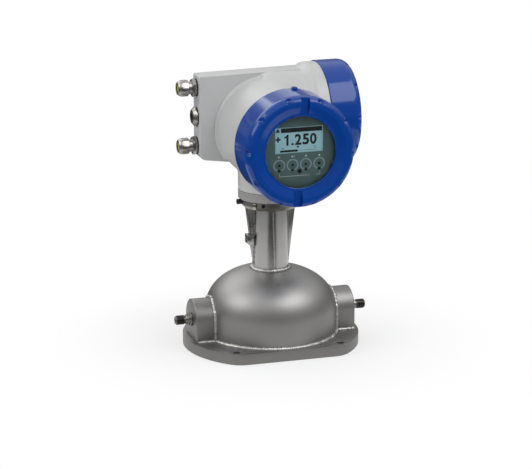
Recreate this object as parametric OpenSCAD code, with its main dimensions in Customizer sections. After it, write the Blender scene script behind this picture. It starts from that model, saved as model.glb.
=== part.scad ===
// Coriolis mass flow meter: a domed stainless sensor on a bolt-down base plate, a short
// neck, and a cast converter housing with a display cover and a terminal cover.
// Frame: origin at the centre of the base plate's underside, +Z up, +X along the flow,
// and the display faces -Y. Millimetres.

/* [Base plate] */
// Radius of the plate's round left and right ends
plate_r = 109; // [104:1:120]
// Depth of the plate across its two straight edges
plate_depth = 174; // [160:1:190]
// Thickness of the plate
plate_t = 13; // [8:0.5:16]
// Distance of the fixing holes from the plate's round ends
bolt_rim = 9.47; // [8:0.01:12]
// Distance of the fixing holes from the plate's straight edges
bolt_edge = 12.5; // [11:0.5:16]
// Diameter of the fixing holes
bolt_hole_d = 9; // [6:0.5:11]

/* [Dome] */
// Outer radius of the dome
dome_r = 81.5; // [76:0.5:84]
// Height of the dome's straight skirt
skirt_h = 26.5; // [22:0.5:34]
// Height of the domed cap above the skirt
cap_h = 57; // [48:0.5:62]
// Fullness of the cap's outline, where 2 is an ellipse
cap_power = 2.25; // [2:0.05:2.6]
// Wall of the dome
dome_wall = 3; // [2:0.25:5]

/* [Pipe ends] */
// Distance of each end block's face behind the plate's round end
block_back = 7; // [3:0.5:13]
// Radius of the end block's arched top
block_r = 25; // [22:0.5:26]
// Height of the pipe axis above the base plate
axis_h = 24; // [20:0.5:28]
// Diameter of the process thread
thread_d = 11.8; // [10:0.1:14]
// Length of the process thread
thread_len = 13; // [10:0.5:18]
// Diameter of the collar where the fitting meets the block
fitting_collar_d = 17; // [15:0.5:20]
// Length of the stepped collars together
fitting_collar_len = 7.5; // [6:0.5:10]
// Diameter of the flow bore in the fitting
flow_bore_d = 4.2; // [3:0.1:4.4]

/* [Measuring tube] */
// Outer diameter of the measuring tube
tube_d = 6; // [5.2:0.1:6.6]
// Wall of the measuring tube
tube_wall = 0.8; // [0.5:0.1:1]
// Straight run of the tube between its frame and each fitting
tube_run = 13; // [12:0.5:18]
// Height of the tube's top run above the pipe axis
loop_h = 36; // [32:0.5:40]
// Centre radius of the tube's bends
bend_r = 12; // [9:0.5:13]

/* [Neck] */
// Outer diameter of the neck column
neck_d = 44; // [40:0.5:48]
// Wall of the neck column
neck_wall = 3; // [2:0.25:4]
// Height of the neck collar's underside above the base
collar_z = 173.7; // [168:0.1:185]
// Reach of the side webs from the axis at their top
web_reach = 31.6; // [28:0.1:34]
// Thickness of the side webs
web_t = 6; // [4:0.5:8]
// Radius of the neck collar
collar_r = 37.7; // [36:0.1:40]
// Height of the neck collar
collar_h = 11; // [10:0.5:14]
// Wall of the collar round the swivel spigot
collar_wall = 7.7; // [6.5:0.1:9]
// Bevel round the collar's underside
collar_bevel = 5; // [2:0.5:5]

/* [Converter] */
// Radius of the adapter ring
adapter_r = 39.5; // [38:0.1:41]
// Height of the adapter ring
adapter_h = 10.5; // [8:0.5:13]
// Radius of the housing's upright collar
stem_r = 40.5; // [39.5:0.1:42]
// Height of the display axis above the housing's seat
display_axis_h = 72; // [70:0.5:78]
// Radius of the display cylinder
display_r = 62; // [60:0.5:64]
// Distance from the neck axis to the display cylinder's front shoulder
display_front_y = 73; // [68:0.5:80]
// Bore of the display compartment
display_bore_r = 54; // [52:0.5:55]
// Height of the terminal axis above the display axis
terminal_rise = 11.5; // [8:0.5:14]
// Distance of the terminal axis behind the neck axis
terminal_y = 30; // [27:0.5:33]
// Radius of the terminal cylinder
terminal_r = 57; // [56:0.5:59]
// Distance from the neck axis to the terminal cylinder's shoulder
terminal_face_x = 68; // [66:0.5:74]
// Bore of the terminal compartment
terminal_bore_r = 52; // [48:0.5:53]
// Distance from the neck axis to the cable entry face
entry_face_x = 83.5; // [80:0.5:90]
// Thickness of the cable entry block
entry_t = 27; // [26:0.5:30]
// Height of the cable entry block at its end
entry_h = 101.5; // [98:0.5:106]
// Spacing of the cable entries
entry_pitch = 36; // [33:0.5:37]

/* [Covers] */
// Outer radius of the display cover
front_cover_r = 67.3; // [66.5:0.1:70]
// Length of the display cover
front_cover_len = 53; // [50:0.5:56]
// Radius of the window opening
window_r = 43.5; // [40:0.5:44.5]
// Outer radius of the terminal cover
terminal_cover_r = 64.5; // [63.5:0.1:67]
// Length of the terminal cover
terminal_cover_len = 40; // [36:0.5:46]
// Turn of the covers' slots from upright
cover_clocking = 4.5; // [0:0.5:30]
// Number of grip dimples round each cover
dimple_count = 10; // [8:2:12]
// Diameter of a grip dimple
dimple_d = 6; // [4:0.5:7]
// Width of the spanner slots
slot_w = 11; // [8:0.5:13]

/* [Display] */
// Width of the display panel's glass
lcd_w = 59; // [54:0.5:61]
// Height of the display panel's glass
lcd_h = 31; // [28:0.5:33]
// Height of the panel's centre above the display axis
lcd_rise = 14; // [12:0.5:16]
// Radius of the display unit
display_unit_r = 46; // [45:0.1:46.3]

/* [Cable entries] */
// Width across the flats of the gland's hexagon
gland_af = 20; // [18:0.5:22]
// Length of the gland's cap nut
gland_cap_len = 13; // [11:0.5:15]
// Diameter of the gland's cap nut
gland_cap_d = 20.4; // [19:0.2:22]
// Diameter of the cable that the gland clamps
cable_d = 8; // [5:0.5:9]
// Diameter of the blanking plug's flange
plug_d = 26.2; // [22:0.2:27]

/* [Hidden] */

$fn = 96;
eps = 0.01;         // overshoot of a cut past the face it opens
run = 0.06;         // radial play of a piece that turns in another
fit = 0.1;          // play round a piece that is fixed in another
gap = 0.3;          // play between faces that move apart

steel = "#8b8986";
bright = "#c9c8c4";
white = "#d6d8da";
blue = "#003386";
dark = "#2b2d30";

// sensor
plate_top = plate_t;
axis_z = plate_top + axis_h;
corner_r = 12;                                  // corners of the plate
bolt_y = plate_depth / 2 - bolt_edge;
bolt_x = sqrt(pow(plate_r - bolt_rim, 2) - pow(bolt_y, 2));
skirt_z = plate_top + skirt_h;
block_in_x = dome_r - dome_wall - 9;            // inner end of an end block, inside the dome
block_face_x = plate_r - block_back;
shank_in = 2;                                   // fitting's shank inside the dome
frame_t = 5;
frame_stand = 6;                                // frame behind the tube's bend
leg_x = block_in_x - shank_in - tube_run - frame_t / 2 - frame_stand - bend_r;
shank_r = 6;                                    // fitting's shank inside the block
tube_r = tube_d / 2;
loop_z = axis_z + loop_h;
neck_r = neck_d / 2;
neck_in_r = neck_r - neck_wall;
cap_steps = 14;
function cap_z(r, R, h) = skirt_z + h * pow(1 - pow(r / R, cap_power), 1 / cap_power);
neck_foot_z = cap_z(neck_r, dome_r, cap_h) - 5; // lower end of the neck column
header_z = neck_foot_z + 1;
header_t = 5;

// neck collar and swivel
spigot_r = collar_r - collar_wall;
collar_floor = 4;
collar_top = collar_z + collar_h;
pocket_z = collar_z + collar_floor;
screw_z = collar_top - 3.4;
screw_groove_r = spigot_r - 2;
groove_half = 1.9;
clamp_r = 2.5;
clamp_tip_r = 1.5;
clamp_head_r = 3.3;
clamp_head_h = 4.8;
recess_depth = 1.5;                             // socket screw below the collar's face
clamp_angles = [180, 300, 60];
recess_angles = [240, 0, 120];
stop_angle = 223;

// converter
adapter_z = collar_top + gap;
seat_z = adapter_z + adapter_h;                 // the housing sits here
display_z = seat_z + display_axis_h;
terminal_z = display_z + terminal_rise;
thread_h = 15;                                  // male thread length for the covers
display_thread_r = display_r - 1.5;
partition_y = 28;                               // back of the display compartment, in front of the neck axis
terminal_thread_r = 58;
shoulder_r = terminal_cover_r - 1;
shoulder_len = 15;
ramp = 8;                                       // cone up to the terminal shoulder
fillet = 3;
drum_round = 14;                                // rounding of the cylinders' closed ends
drum_floor = 10;                                // floor of the terminal compartment
lock_z = 7;                                     // lock screw in front of the housing's shoulder
lock_boss_r = 3.6;
lock_boss_h = 2.7;
lock_screw_r = 2;
entry_y = terminal_y + 3.5;                     // middle of the cable entry block
entry_z = terminal_z + 4.5;
entry_r = 8;                                    // radius of a cable entry's thread
entry_wall = 5.5;
entry_top = entry_z + entry_h / 2 - 0.3;
entry_bottom = entry_z - entry_h / 2 - 0.3;
terminal_back_x = 2;                            // back of the terminal compartment
passage_r = 13;                                 // wire passage up from the neck
carrier_t = 2;

// covers, measured outwards from the housing's shoulder
shoulder_h = 11;                                // rounded shoulder of a cover
crest_in = 7.3;                                 // crest lies this far inside the cover's radius
seal_r = 1.1;                                   // section radius of a cover's O-ring
seal_pocket = 2.7;
lip_t = 6.5;                                    // flange in front of the window
slot_depth = 4.5;
dish_depth = 4;
gasket_t = 0.8;
glass_t = 4;
glass_r = window_r + 6.5;
ring_t = 3.5;
lip_back = front_cover_len - lip_t;
glass_front = lip_back - gasket_t;
glass_back = glass_front - glass_t;
ring_back = glass_back - ring_t;

// display stack, measured outwards from the neck axis
face_y = display_front_y + glass_back - 0.7;    // front of the display face
face_t = 1;
board_t = 1.6;
module_y = display_front_y - 3;
board_y = module_y + board_t;

// glands, measured outwards from the entry face
gland_gasket_t = 1.2;
gland_hex_t = 5;
gland_neck_r = 7.7;
gland_neck_len = 4.5;
gland_barrel_r = 7.4;
gland_barrel_len = 7;
gland_cap_start = gland_gasket_t + gland_hex_t + gland_neck_len;
gland_cap_end = gland_cap_start + gland_cap_len;
gland_lip = 2;
gland_mouth_r = 6.2;
gland_bore_r = 5.2;
gland_seal_r = 7;
gland_entries = [entry_z + entry_pitch, entry_z - entry_pitch];
plug_r = plug_d / 2;
plug_gasket_t = 1;
plug_flange_t = 5.4;                            // flange's front above the entry face
plug_t = 9.7;                                   // plug's front above the entry face
key_af = 9;
key_depth = 6.2;

// ---------- placing ----------
module at_pipe(side) translate([0, 0, axis_z]) rotate([0, side * 90, 0]) children();
module at_display() translate([0, 0, display_z]) rotate([90, 0, 0]) children();
module at_terminal() translate([0, terminal_y, terminal_z]) rotate([0, 90, 0]) children();
module at_entry(z) translate([-entry_face_x, entry_y, z]) rotate([0, -90, 0]) children();
module ring(r_out, r_in, h) difference() {
    cylinder(r = r_out, h = h);
    translate([0, 0, -eps]) cylinder(r = r_in, h = h + 2 * eps);
}
module hexagon(af, h) cylinder(r = af / 2 / cos(30), h = h, $fn = 6);

// ---------- sensor ----------
module plate_outline() {
    offset(r = corner_r) offset(delta = -corner_r) intersection() {
        circle(r = plate_r, $fn = 120);
        square([2 * plate_r, plate_depth], center = true);
    }
}

module base_plate() color(steel) difference() {
    linear_extrude(plate_t) plate_outline();
    for (sx = [-1, 1], sy = [-1, 1])
        translate([sx * bolt_x, sy * bolt_y, -eps])
            cylinder(d = bolt_hole_d, h = plate_t + 2 * eps);
}

// Skirt and domed cap in one outline, from the bottom edge to the axis
module dome_solid(r, h, foot) rotate_extrude() polygon(concat(
    [[0, foot], [r, foot]],
    [for (i = [0 : cap_steps]) let (a = 90 * i / cap_steps)
        [i == cap_steps ? 0 : r * pow(cos(a), 2 / cap_power), skirt_z + h * pow(sin(a), 2 / cap_power)]]));

// An end block's section: straight sides up from the plate, round over the pipe axis
module block_section(grow) difference() {
    union() {
        translate([-block_r - grow, plate_top]) square([2 * (block_r + grow), axis_h]);
        translate([0, axis_z]) circle(r = block_r + grow);
    }
    translate([-plate_r, 0]) square([2 * plate_r, plate_top]);
}

module end_block_bar(side, x_in, x_out, grow) rotate([90, 0, 90])
    translate([0, 0, side > 0 ? x_in : -x_out]) linear_extrude(x_out - x_in) block_section(grow);

module dome_shell() color(steel) difference() {
    dome_solid(dome_r, cap_h, plate_top);
    dome_solid(dome_r - dome_wall, cap_h - dome_wall, plate_top - 1);
    for (side = [-1, 1]) end_block_bar(side, block_in_x - 5, block_face_x, fit);
    translate([0, 0, skirt_z]) cylinder(r = neck_r + fit, h = cap_h + 5);
}

module end_block(side) color(steel) difference() {
    end_block_bar(side, block_in_x, block_face_x, 0);
    at_pipe(side) translate([0, 0, block_in_x - 1])
        cylinder(r = shank_r + fit, h = block_face_x - block_in_x + 2);
}

// Turned fitting: shank in the block, stepped collars, relief groove and threaded end
module end_fitting(side) color(bright) at_pipe(side) translate([0, 0, block_face_x]) {
    step = fitting_collar_len / 3;
    collar = fitting_collar_d / 2;
    tip = thread_d / 2;
    shank_end = block_in_x - shank_in - block_face_x;
    difference() {
        rotate_extrude() polygon([
            [0, shank_end], [shank_r, shank_end], [shank_r, 0],
            [collar, 0], [collar, step], [collar - 1.2, step + 0.4], [collar - 1.2, 2 * step],
            [collar - 2.2, 2 * step + 0.3], [collar - 2.2, 3 * step], [tip - 0.9, 3 * step],
            [tip - 0.9, 3 * step + 1], [tip, 3 * step + 1.8],
            [tip, fitting_collar_len + thread_len - 1], [tip - 0.9, fitting_collar_len + thread_len],
            [0, fitting_collar_len + thread_len]]);
        translate([0, 0, shank_end - 1]) cylinder(d = flow_bore_d, h = block_face_x - block_in_x + 30);
        translate([0, 0, shank_end - 1]) cylinder(r = tube_r + fit / 2, h = 13);
    }
}

// Fillet welds: round the dome's foot, round the neck's foot and along the end blocks
module weld_beads() color(bright) {
    leg = 3;
    difference() {
        rotate_extrude() polygon([[dome_r, plate_top], [dome_r + leg, plate_top], [dome_r, plate_top + leg]]);
        for (side = [-1, 1]) end_block_bar(side, dome_r - 20, dome_r + 20, 2 * fit);
    }
    for (side = [-1, 1], sy = [-1, 1])
        translate([side * (dome_r + leg + block_face_x) / 2, sy * block_r, plate_top])
            scale([1, sy, 1]) rotate([90, 0, 90])
                linear_extrude(block_face_x - dome_r - leg - 1, center = true)
                    polygon([[0, 0], [leg, 0], [0, leg]]);
    foot = cap_z(neck_r + leg, dome_r, cap_h) + 0.1;
    inner = neck_r + fit / 2;
    rotate_extrude() polygon([[inner, cap_z(neck_r, dome_r, cap_h) + 0.1], [neck_r + leg, foot],
        [neck_r + leg - 0.4, foot + 1.4], [inner, foot + leg + 1]]);
}

// ---------- measuring tube ----------
// One bend of the tube's axis about its own centre, in the XZ plane
module bend(x, z, from, r) translate([x, 0, z]) rotate([90, 0, 0])
    rotate([0, 0, from]) rotate_extrude(angle = 90) translate([bend_r, 0]) circle(r = r, $fn = 32);

module tube_path(r) {
    run_in = leg_x + bend_r;
    for (side = [-1, 1]) {
        at_pipe(side) translate([0, 0, run_in]) cylinder(r = r, h = block_in_x + 5 - run_in, $fn = 32);
        translate([side * leg_x, 0, axis_z + bend_r]) cylinder(r = r, h = loop_h - 2 * bend_r, $fn = 32);
    }
    bend(-leg_x - bend_r, axis_z + bend_r, 270, r);
    bend(leg_x + bend_r, axis_z + bend_r, 180, r);
    bend(-leg_x + bend_r, loop_z - bend_r, 90, r);
    bend(leg_x - bend_r, loop_z - bend_r, 0, r);
    translate([-leg_x + bend_r, 0, loop_z]) rotate([0, 90, 0])
        cylinder(r = r, h = 2 * (leg_x - bend_r), $fn = 32);
}

module measuring_tube() color(bright) difference() {
    tube_path(tube_r);
    tube_path(tube_r - tube_wall);
}

// Frame that clamps the tube at both ends of the loop and stands on the plate
frame_x = leg_x + bend_r + frame_stand;
frame_w = 34;
frame_foot_t = 4;
frame_top = axis_z + 12;
module tube_frame() color(steel) difference() {
    union() {
        translate([-frame_x - frame_t / 2, -frame_w / 2, plate_top])
            cube([2 * frame_x + frame_t, frame_w, frame_foot_t]);
        for (side = [-1, 1])
            translate([side * frame_x - frame_t / 2, -frame_w / 2, plate_top])
                cube([frame_t, frame_w, frame_top - plate_top]);
    }
    at_pipe(1) translate([0, 0, -frame_x - frame_t])
        cylinder(r = tube_r + fit / 2, h = 2 * (frame_x + frame_t));
}

// Bridge on the frame's foot that carries the coils beside the loop
bridge_t = 4;
bridge_y = 11;
bridge_rim = 9;
bridge_top = loop_z + 7;
module coil_bridge() color(steel) difference() {
    translate([-leg_x - bridge_rim, bridge_y, plate_top + frame_foot_t])
        cube([2 * (leg_x + bridge_rim), bridge_t, bridge_top - plate_top - frame_foot_t]);
    translate([-leg_x + bridge_rim, bridge_y - 1, plate_top + frame_foot_t + 14])
        cube([2 * (leg_x - bridge_rim), bridge_t + 2, loop_h - 14]);
}

coil_r = 5.5;
magnet_r = 2.6;
coil_face_y = tube_r + 2.2;
module coil_at(x, z) translate([x, bridge_y, z]) rotate([90, 0, 0]) difference() {
    cylinder(r = coil_r, h = bridge_y - coil_face_y, $fn = 48);
    translate([0, 0, 1.2]) cylinder(r = magnet_r + 0.6, h = bridge_y, $fn = 48);
}
// A magnet on a saddle that hugs the tube's side
saddle = 7;
saddle_back = 1.6;                              // saddle behind the tube's side
magnet_in = 2;                                  // magnet inside its coil
module magnet_at(x, z, upright) translate([x, 0, z]) difference() {
    union() {
        translate([0, tube_r, 0]) rotate([-90, 0, 0])
            cylinder(r = magnet_r, h = coil_face_y - tube_r + magnet_in, $fn = 48);
        translate([-saddle / 2, saddle_back / 2, -saddle / 2]) cube([saddle, tube_r + saddle_back / 2, saddle]);
    }
    rotate([0, upright ? 0 : 90, 0]) cylinder(r = tube_r + 0.05, h = 12, center = true, $fn = 48);
}
pickup_z = axis_z + loop_h / 2;
module drive_coil() color("#b0682c") coil_at(0, loop_z);
module drive_magnet() color(dark) magnet_at(0, loop_z, false);
module pickup_coils() color("#b0682c") for (side = [-1, 1]) coil_at(side * leg_x, pickup_z);
module pickup_magnets() color(dark) for (side = [-1, 1]) magnet_at(side * leg_x, pickup_z, true);

// Resistance thermometer clipped on the inlet run of the tube
module temperature_sensor() color(bright) {
    x = -frame_x - (frame_t + tube_run) / 2 + 0.5;
    translate([x - 3, 0, axis_z]) difference() {
        translate([0, -2.5, 0.6]) cube([6, 5, tube_r + 2.4]);
        translate([-1, 0, 0]) rotate([0, 90, 0]) cylinder(r = tube_r + 0.05, h = 8, $fn = 48);
        translate([-1, 0, tube_r + 1.6]) rotate([0, 90, 0]) cylinder(r = 0.85, h = 8, $fn = 24);
    }
    translate([x - 5, 0, axis_z + tube_r + 1.6]) rotate([0, 90, 0]) cylinder(r = 0.8, h = 10, $fn = 24);
}

// Sealed header in the neck's foot, with its pins
pin_out = 6;
module feedthrough() color(bright) {
    translate([0, 0, header_z]) cylinder(r = neck_in_r - fit / 2, h = header_t);
    for (i = [0 : 8]) rotate(i * 40) translate([neck_in_r / 2, 0, header_z - pin_out])
        cylinder(r = 0.6, h = header_t + 2 * pin_out, $fn = 16);
}

// ---------- neck ----------
web_foot_z = neck_foot_z + 9;
module neck_column() color(steel) difference() {
    union() {
        translate([0, 0, neck_foot_z]) cylinder(r = neck_r, h = collar_z - neck_foot_z);
        for (side = [-1, 1]) rotate([90, 0, 0]) linear_extrude(web_t, center = true)
            polygon([[side * (neck_r - 1.5), web_foot_z], [side * neck_r, web_foot_z],
                [side * web_reach, collar_z], [side * (neck_r - 1.5), collar_z]]);
    }
    translate([0, 0, neck_foot_z - 1]) cylinder(r = neck_in_r, h = collar_z - neck_foot_z + 2);
}

module neck_collar() color(steel) difference() {
    union() {
        translate([0, 0, collar_z]) cylinder(r1 = collar_r - collar_bevel, r2 = collar_r, h = collar_bevel);
        translate([0, 0, collar_z + collar_bevel]) cylinder(r = collar_r, h = collar_h - collar_bevel);
    }
    translate([0, 0, collar_z - 1]) cylinder(r = neck_in_r, h = collar_h + 2);
    translate([0, 0, pocket_z]) cylinder(r = spigot_r + run, h = collar_h);
    for (a = concat(clamp_angles, recess_angles)) rotate(a)
        translate([spigot_r - 2, 0, screw_z]) rotate([0, 90, 0])
            cylinder(r = clamp_r + fit / 2, h = collar_r);
}

// Screw with a round socket head against the collar
module clamp_screw(a) rotate(a) translate([0, 0, screw_z]) rotate([0, 90, 0]) difference() {
    union() {
        translate([0, 0, screw_groove_r + gap]) cylinder(r = clamp_tip_r, h = 4, $fn = 32);
        translate([0, 0, spigot_r + 0.5]) cylinder(r = clamp_r, h = collar_r - spigot_r, $fn = 32);
        translate([0, 0, collar_r + fit / 2]) cylinder(r = clamp_head_r, h = clamp_head_h, $fn = 32);
    }
    translate([0, 0, collar_r + clamp_head_h / 2]) hexagon(clamp_head_r * 0.9, clamp_head_h);
}
module recessed_screw(a) rotate(a) translate([0, 0, screw_z]) rotate([0, 90, 0]) difference() {
    union() {
        translate([0, 0, screw_groove_r + gap]) cylinder(r = clamp_tip_r, h = 4, $fn = 32);
        translate([0, 0, spigot_r + 0.5])
            cylinder(r = clamp_r, h = collar_wall - recess_depth - 0.5, $fn = 32);
    }
    translate([0, 0, collar_r - recess_depth - 2]) hexagon(clamp_r, collar_wall);
}
module clamp_screws() color(bright) for (a = clamp_angles) clamp_screw(a);
module recessed_screws() color(dark) for (a = recess_angles) recessed_screw(a);

// Small plate on the collar that marks and stops the swivel
module swivel_stop() color(bright) rotate(stop_angle)
    translate([collar_r - 0.4, -2.3, collar_top - 8]) difference() {
        cube([2.4, 4.6, 7]);
        translate([0.4 - collar_r, 2.3, -1]) cylinder(r = collar_r, h = 9);
    }

// Earthing lug gripped on the left web
module earth_lug() color(steel) {
    lug_z = 124.3;
    lug_h = 14.6;
    lug_in = neck_r + 0.8;
    lug_out = 31;
    difference() {
        rotate([90, 0, 0]) linear_extrude(11, center = true)
            polygon([[-lug_in, lug_z], [-lug_out + 5, lug_z], [-lug_out, lug_z + 4],
                [-lug_out, lug_z + lug_h], [-lug_in, lug_z + lug_h]]);
        translate([-web_reach, -web_t / 2, lug_z - 1]) cube([web_reach, web_t, lug_h + 2]);
    }
    translate([-lug_out, -web_t / 2, lug_z + 4]) difference() {
        cube([2.2, web_t, lug_h - 4]);
        translate([-1, web_t / 2, (lug_h - 4) / 2]) rotate([0, 90, 0]) cylinder(r = 2, h = 4, $fn = 32);
    }
}

// ---------- converter ----------
module adapter_ring() color(white) difference() {
    union() {
        translate([0, 0, adapter_z]) cylinder(r = adapter_r, h = adapter_h);
        translate([0, 0, pocket_z + gap]) cylinder(r = spigot_r, h = adapter_h);
    }
    translate([0, 0, pocket_z]) cylinder(r = 20, h = adapter_h + collar_h);
    translate([0, 0, screw_z - groove_half]) ring(spigot_r + 2, screw_groove_r, 2 * groove_half);
}

// Section of the cable entry block, rounded, seen along Y
module entry_block() hull() {
    half = entry_t / 2;
    for (p = [[-entry_face_x, entry_top, 4], [-entry_face_x, entry_bottom, 9],
              [-18, entry_bottom - 9, 9], [terminal_face_x - shoulder_len, entry_top + 2, 4]])
        translate([p[0] + (p[0] > 0 ? -p[2] : p[2]), entry_y, p[1] + (p[1] > display_z ? -p[2] : p[2])])
            rotate([90, 0, 0]) {
                cylinder(r = p[2], h = entry_t - 3, center = true, $fn = 32);
                cylinder(r = p[2] - 1.5, h = entry_t, center = true, $fn = 32);
            }
}

// A cylinder about +Z whose closed end at z0 has a rounded edge
module drum(r, z0, z1) rotate_extrude() polygon(concat([[0, z0]],
    [for (i = [0 : 8]) let (a = 90 * i / 8)
        [r - drum_round * (1 - sin(a)), z0 + drum_round * (1 - cos(a))]],
    [[r, z1], [0, z1]]));

module converter_housing() color(white) difference() {
    union() {
        translate([0, 0, seat_z]) cylinder(r = stem_r, h = display_axis_h - 20);
        // display cylinder with its male thread
        at_display() drum(display_r, 1 - entry_y - entry_t / 2, display_front_y);
        at_display() cylinder(r = display_thread_r, h = display_front_y + thread_h);
        // fillet where the display cylinder leaves the entry block's face
        at_display() translate([0, 0, entry_t / 2 - entry_y])
            cylinder(r1 = display_r + fillet, r2 = display_r, h = fillet);
        entry_block();
        // terminal cylinder, its raised shoulder and its male thread
        at_terminal() drum(terminal_r, terminal_back_x - drum_floor, terminal_face_x);
        at_terminal() translate([0, 0, terminal_face_x - shoulder_len - ramp])
            cylinder(r1 = terminal_r, r2 = shoulder_r, h = ramp);
        at_terminal() translate([0, 0, terminal_face_x - shoulder_len])
            cylinder(r = shoulder_r, h = shoulder_len);
        at_terminal() translate([0, 0, terminal_face_x - shoulder_len])
            cylinder(r = terminal_thread_r, h = shoulder_len + thread_h);
    }
    at_display() translate([0, 0, partition_y]) cylinder(r = display_bore_r, h = display_front_y);
    at_terminal() translate([0, 0, terminal_back_x]) cylinder(r = terminal_bore_r, h = terminal_face_x + thread_h);
    // hollow of the entry block, open to the terminal compartment
    translate([-entry_face_x + entry_wall, entry_y - entry_t / 2 + entry_wall, entry_bottom + 8])
        cube([entry_face_x, entry_t - 2 * entry_wall, entry_h - 16]);
    for (z = [entry_z - entry_pitch, entry_z, entry_z + entry_pitch])
        at_entry(z) translate([0, 0, -entry_wall - 1]) cylinder(r = entry_r, h = entry_wall + 3);
    // wire passage from the neck to the display compartment
    translate([0, 0, seat_z - 1]) cylinder(r = passage_r, h = display_axis_h - display_bore_r + 14);
    translate([0, 0, seat_z + display_axis_h - display_bore_r + 4]) rotate([90, 0, 0])
        cylinder(r = 7, h = partition_y + 10);
}

module electronics_module() color(dark) at_display() translate([0, 0, partition_y])
    difference() {
        cylinder(r = display_bore_r - 3, h = module_y - partition_y);
        for (a = [45 : 90 : 315]) rotate(a) translate([display_bore_r - 8, 0, module_y - partition_y - 6])
            cylinder(r = 2, h = 8, $fn = 32);
    }

module display_board() color("#1d5a34") at_display() translate([0, 0, module_y])
    cylinder(r = display_unit_r - 1, h = board_t);

module display_unit() color(dark) at_display() difference() {
    translate([0, 0, board_y]) cylinder(r = display_unit_r, h = face_y - face_t - board_y);
    translate([-lcd_w / 2 - 1, lcd_rise - lcd_h / 2 - 1, face_y - face_t - 4])
        cube([lcd_w + 2, lcd_h + 2, 6]);
}

module display_face() color("#42505a") at_display() difference() {
    translate([0, 0, face_y - face_t]) cylinder(r = display_unit_r, h = face_t);
    translate([-lcd_w / 2, lcd_rise - lcd_h / 2, face_y - face_t - 1]) cube([lcd_w, lcd_h, face_t + 2]);
}

module lcd_panel() color("#7ba9b4") at_display() {
    translate([-lcd_w / 2 - 0.8, lcd_rise - lcd_h / 2 - 0.8, face_y - face_t - 4])
        cube([lcd_w + 1.6, lcd_h + 1.6, 4]);
}

module terminal_carrier() color("#1d5a34") at_terminal() translate([0, 0, terminal_back_x])
    cylinder(r = terminal_bore_r - 1, h = carrier_t);

// Two rows of screw terminals on the carrier
poles = 6;
pole_pitch = 10;
row_y = 18;
strip_w = 16;
strip_h = 20;
strip_z = terminal_back_x + carrier_t;
screw_floor = 14;
pole_r = 3.2;
pole_h = 3;
function pole_x(i) = pole_pitch * (i - (poles - 1) / 2);
module terminal_block() color("#3a6b46") at_terminal()
    for (row = [-1, 1]) translate([0, row * row_y, strip_z]) difference() {
        translate([-poles * pole_pitch / 2, -strip_w / 2, 0]) cube([poles * pole_pitch, strip_w, strip_h]);
        for (i = [0 : poles - 1]) translate([pole_x(i), 0, 0]) {
            translate([0, 0, screw_floor]) cylinder(r = pole_r, h = strip_h, $fn = 32);
            translate([0, -strip_w / 2 - 1, screw_floor / 2]) rotate([-90, 0, 0])
                cylinder(r = pole_r * 0.75, h = strip_w / 2, $fn = 32);
        }
    }
module terminal_screws() color(bright) at_terminal()
    for (row = [-1, 1], i = [0 : poles - 1])
        translate([pole_x(i), row * row_y, strip_z + screw_floor]) difference() {
            cylinder(r = pole_r - fit, h = pole_h, $fn = 32);
            translate([-pole_r - 0.3, -0.4, pole_h - 1]) cube([2 * pole_r + 0.6, 0.8, 2]);
        }

// ---------- covers ----------
// Outside of a cover about +Z, from the housing's shoulder to the crest and the dish
module cover_body(r, len, dish_r, depth) rotate_extrude() polygon(concat(
    [[0, gap], [r, gap]],
    [for (i = [0 : 8]) let (a = 90 * i / 8)
        [r - crest_in * (1 - cos(a)), len - shoulder_h * (1 - sin(a))]],
    [[r - crest_in - 5, len], [dish_r, len - depth], [0, len - depth]]));

module cover_cuts(r, len) {
    for (i = [0 : dimple_count - 1]) rotate(90 - cover_clocking + 360 * (i + 0.5) / dimple_count)
        translate([r - 3, 0, len - 4.3]) rotate([0, 38, 0]) cylinder(d = dimple_d, h = 12, $fn = 32);
    for (turn = [0, 180]) rotate(90 - cover_clocking + turn)
        translate([r - 20.8, -slot_w / 2, len - slot_depth]) cube([19, slot_w, 8]);
}

module cover_skirt_bore(thread_r) {
    translate([0, 0, -1]) cylinder(r = thread_r + run + 2.7, h = 1 + gap + seal_pocket);
    cylinder(r = thread_r + run, h = thread_h + 1.2);
}

// Placed on the lock screw's axis, which points outwards from the display cover's axis
module at_lock() at_display() rotate(90 - cover_clocking)
    translate([0, 0, display_front_y + lock_z]) rotate([0, 90, 0]) children();

module front_cover() color(blue) difference() {
    union() {
        at_display() translate([0, 0, display_front_y]) difference() {
            cover_body(front_cover_r, front_cover_len, window_r + 3, dish_depth);
            cover_cuts(front_cover_r, front_cover_len);
        }
        at_lock() translate([0, 0, front_cover_r - 2]) cylinder(r = lock_boss_r, h = 2 + lock_boss_h, $fn = 48);
    }
    at_lock() translate([0, 0, display_thread_r]) cylinder(r = lock_screw_r + fit / 2, h = 20, $fn = 32);
    at_display() translate([0, 0, display_front_y]) {
        cover_skirt_bore(display_thread_r);
        cylinder(r = glass_r + 4.5, h = ring_back - 2);
        cylinder(r = glass_r + 3, h = glass_back);
        cylinder(r = glass_r + fit, h = lip_back);
        cylinder(r = window_r, h = front_cover_len + 1);
    }
}

module at_window(z) at_display() translate([0, 0, display_front_y + z]) children();
module window_gasket() color(dark) at_window(glass_front) ring(glass_r, window_r + 0.8, gasket_t);
module window_glass() color("lightblue", 0.3) at_window(glass_back) cylinder(r = glass_r, h = glass_t);
module window_ring() color(dark) at_window(ring_back) difference() {
    ring(glass_r + 3 - fit, display_unit_r + 0.6, ring_t);
    for (a = [0, 90, 180, 270]) rotate(a) translate([glass_r - 0.5, -2, -1]) cube([5, 4, 2.5]);
}

// Grub screw in the boss at the top of the display cover's rear edge
module cover_lock_screw() color(dark) at_lock() translate([0, 0, display_thread_r + 1.5]) difference() {
    cylinder(r = lock_screw_r, h = 6.8, $fn = 32);
    translate([0, 0, 5]) hexagon(2, 4);
}

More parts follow.
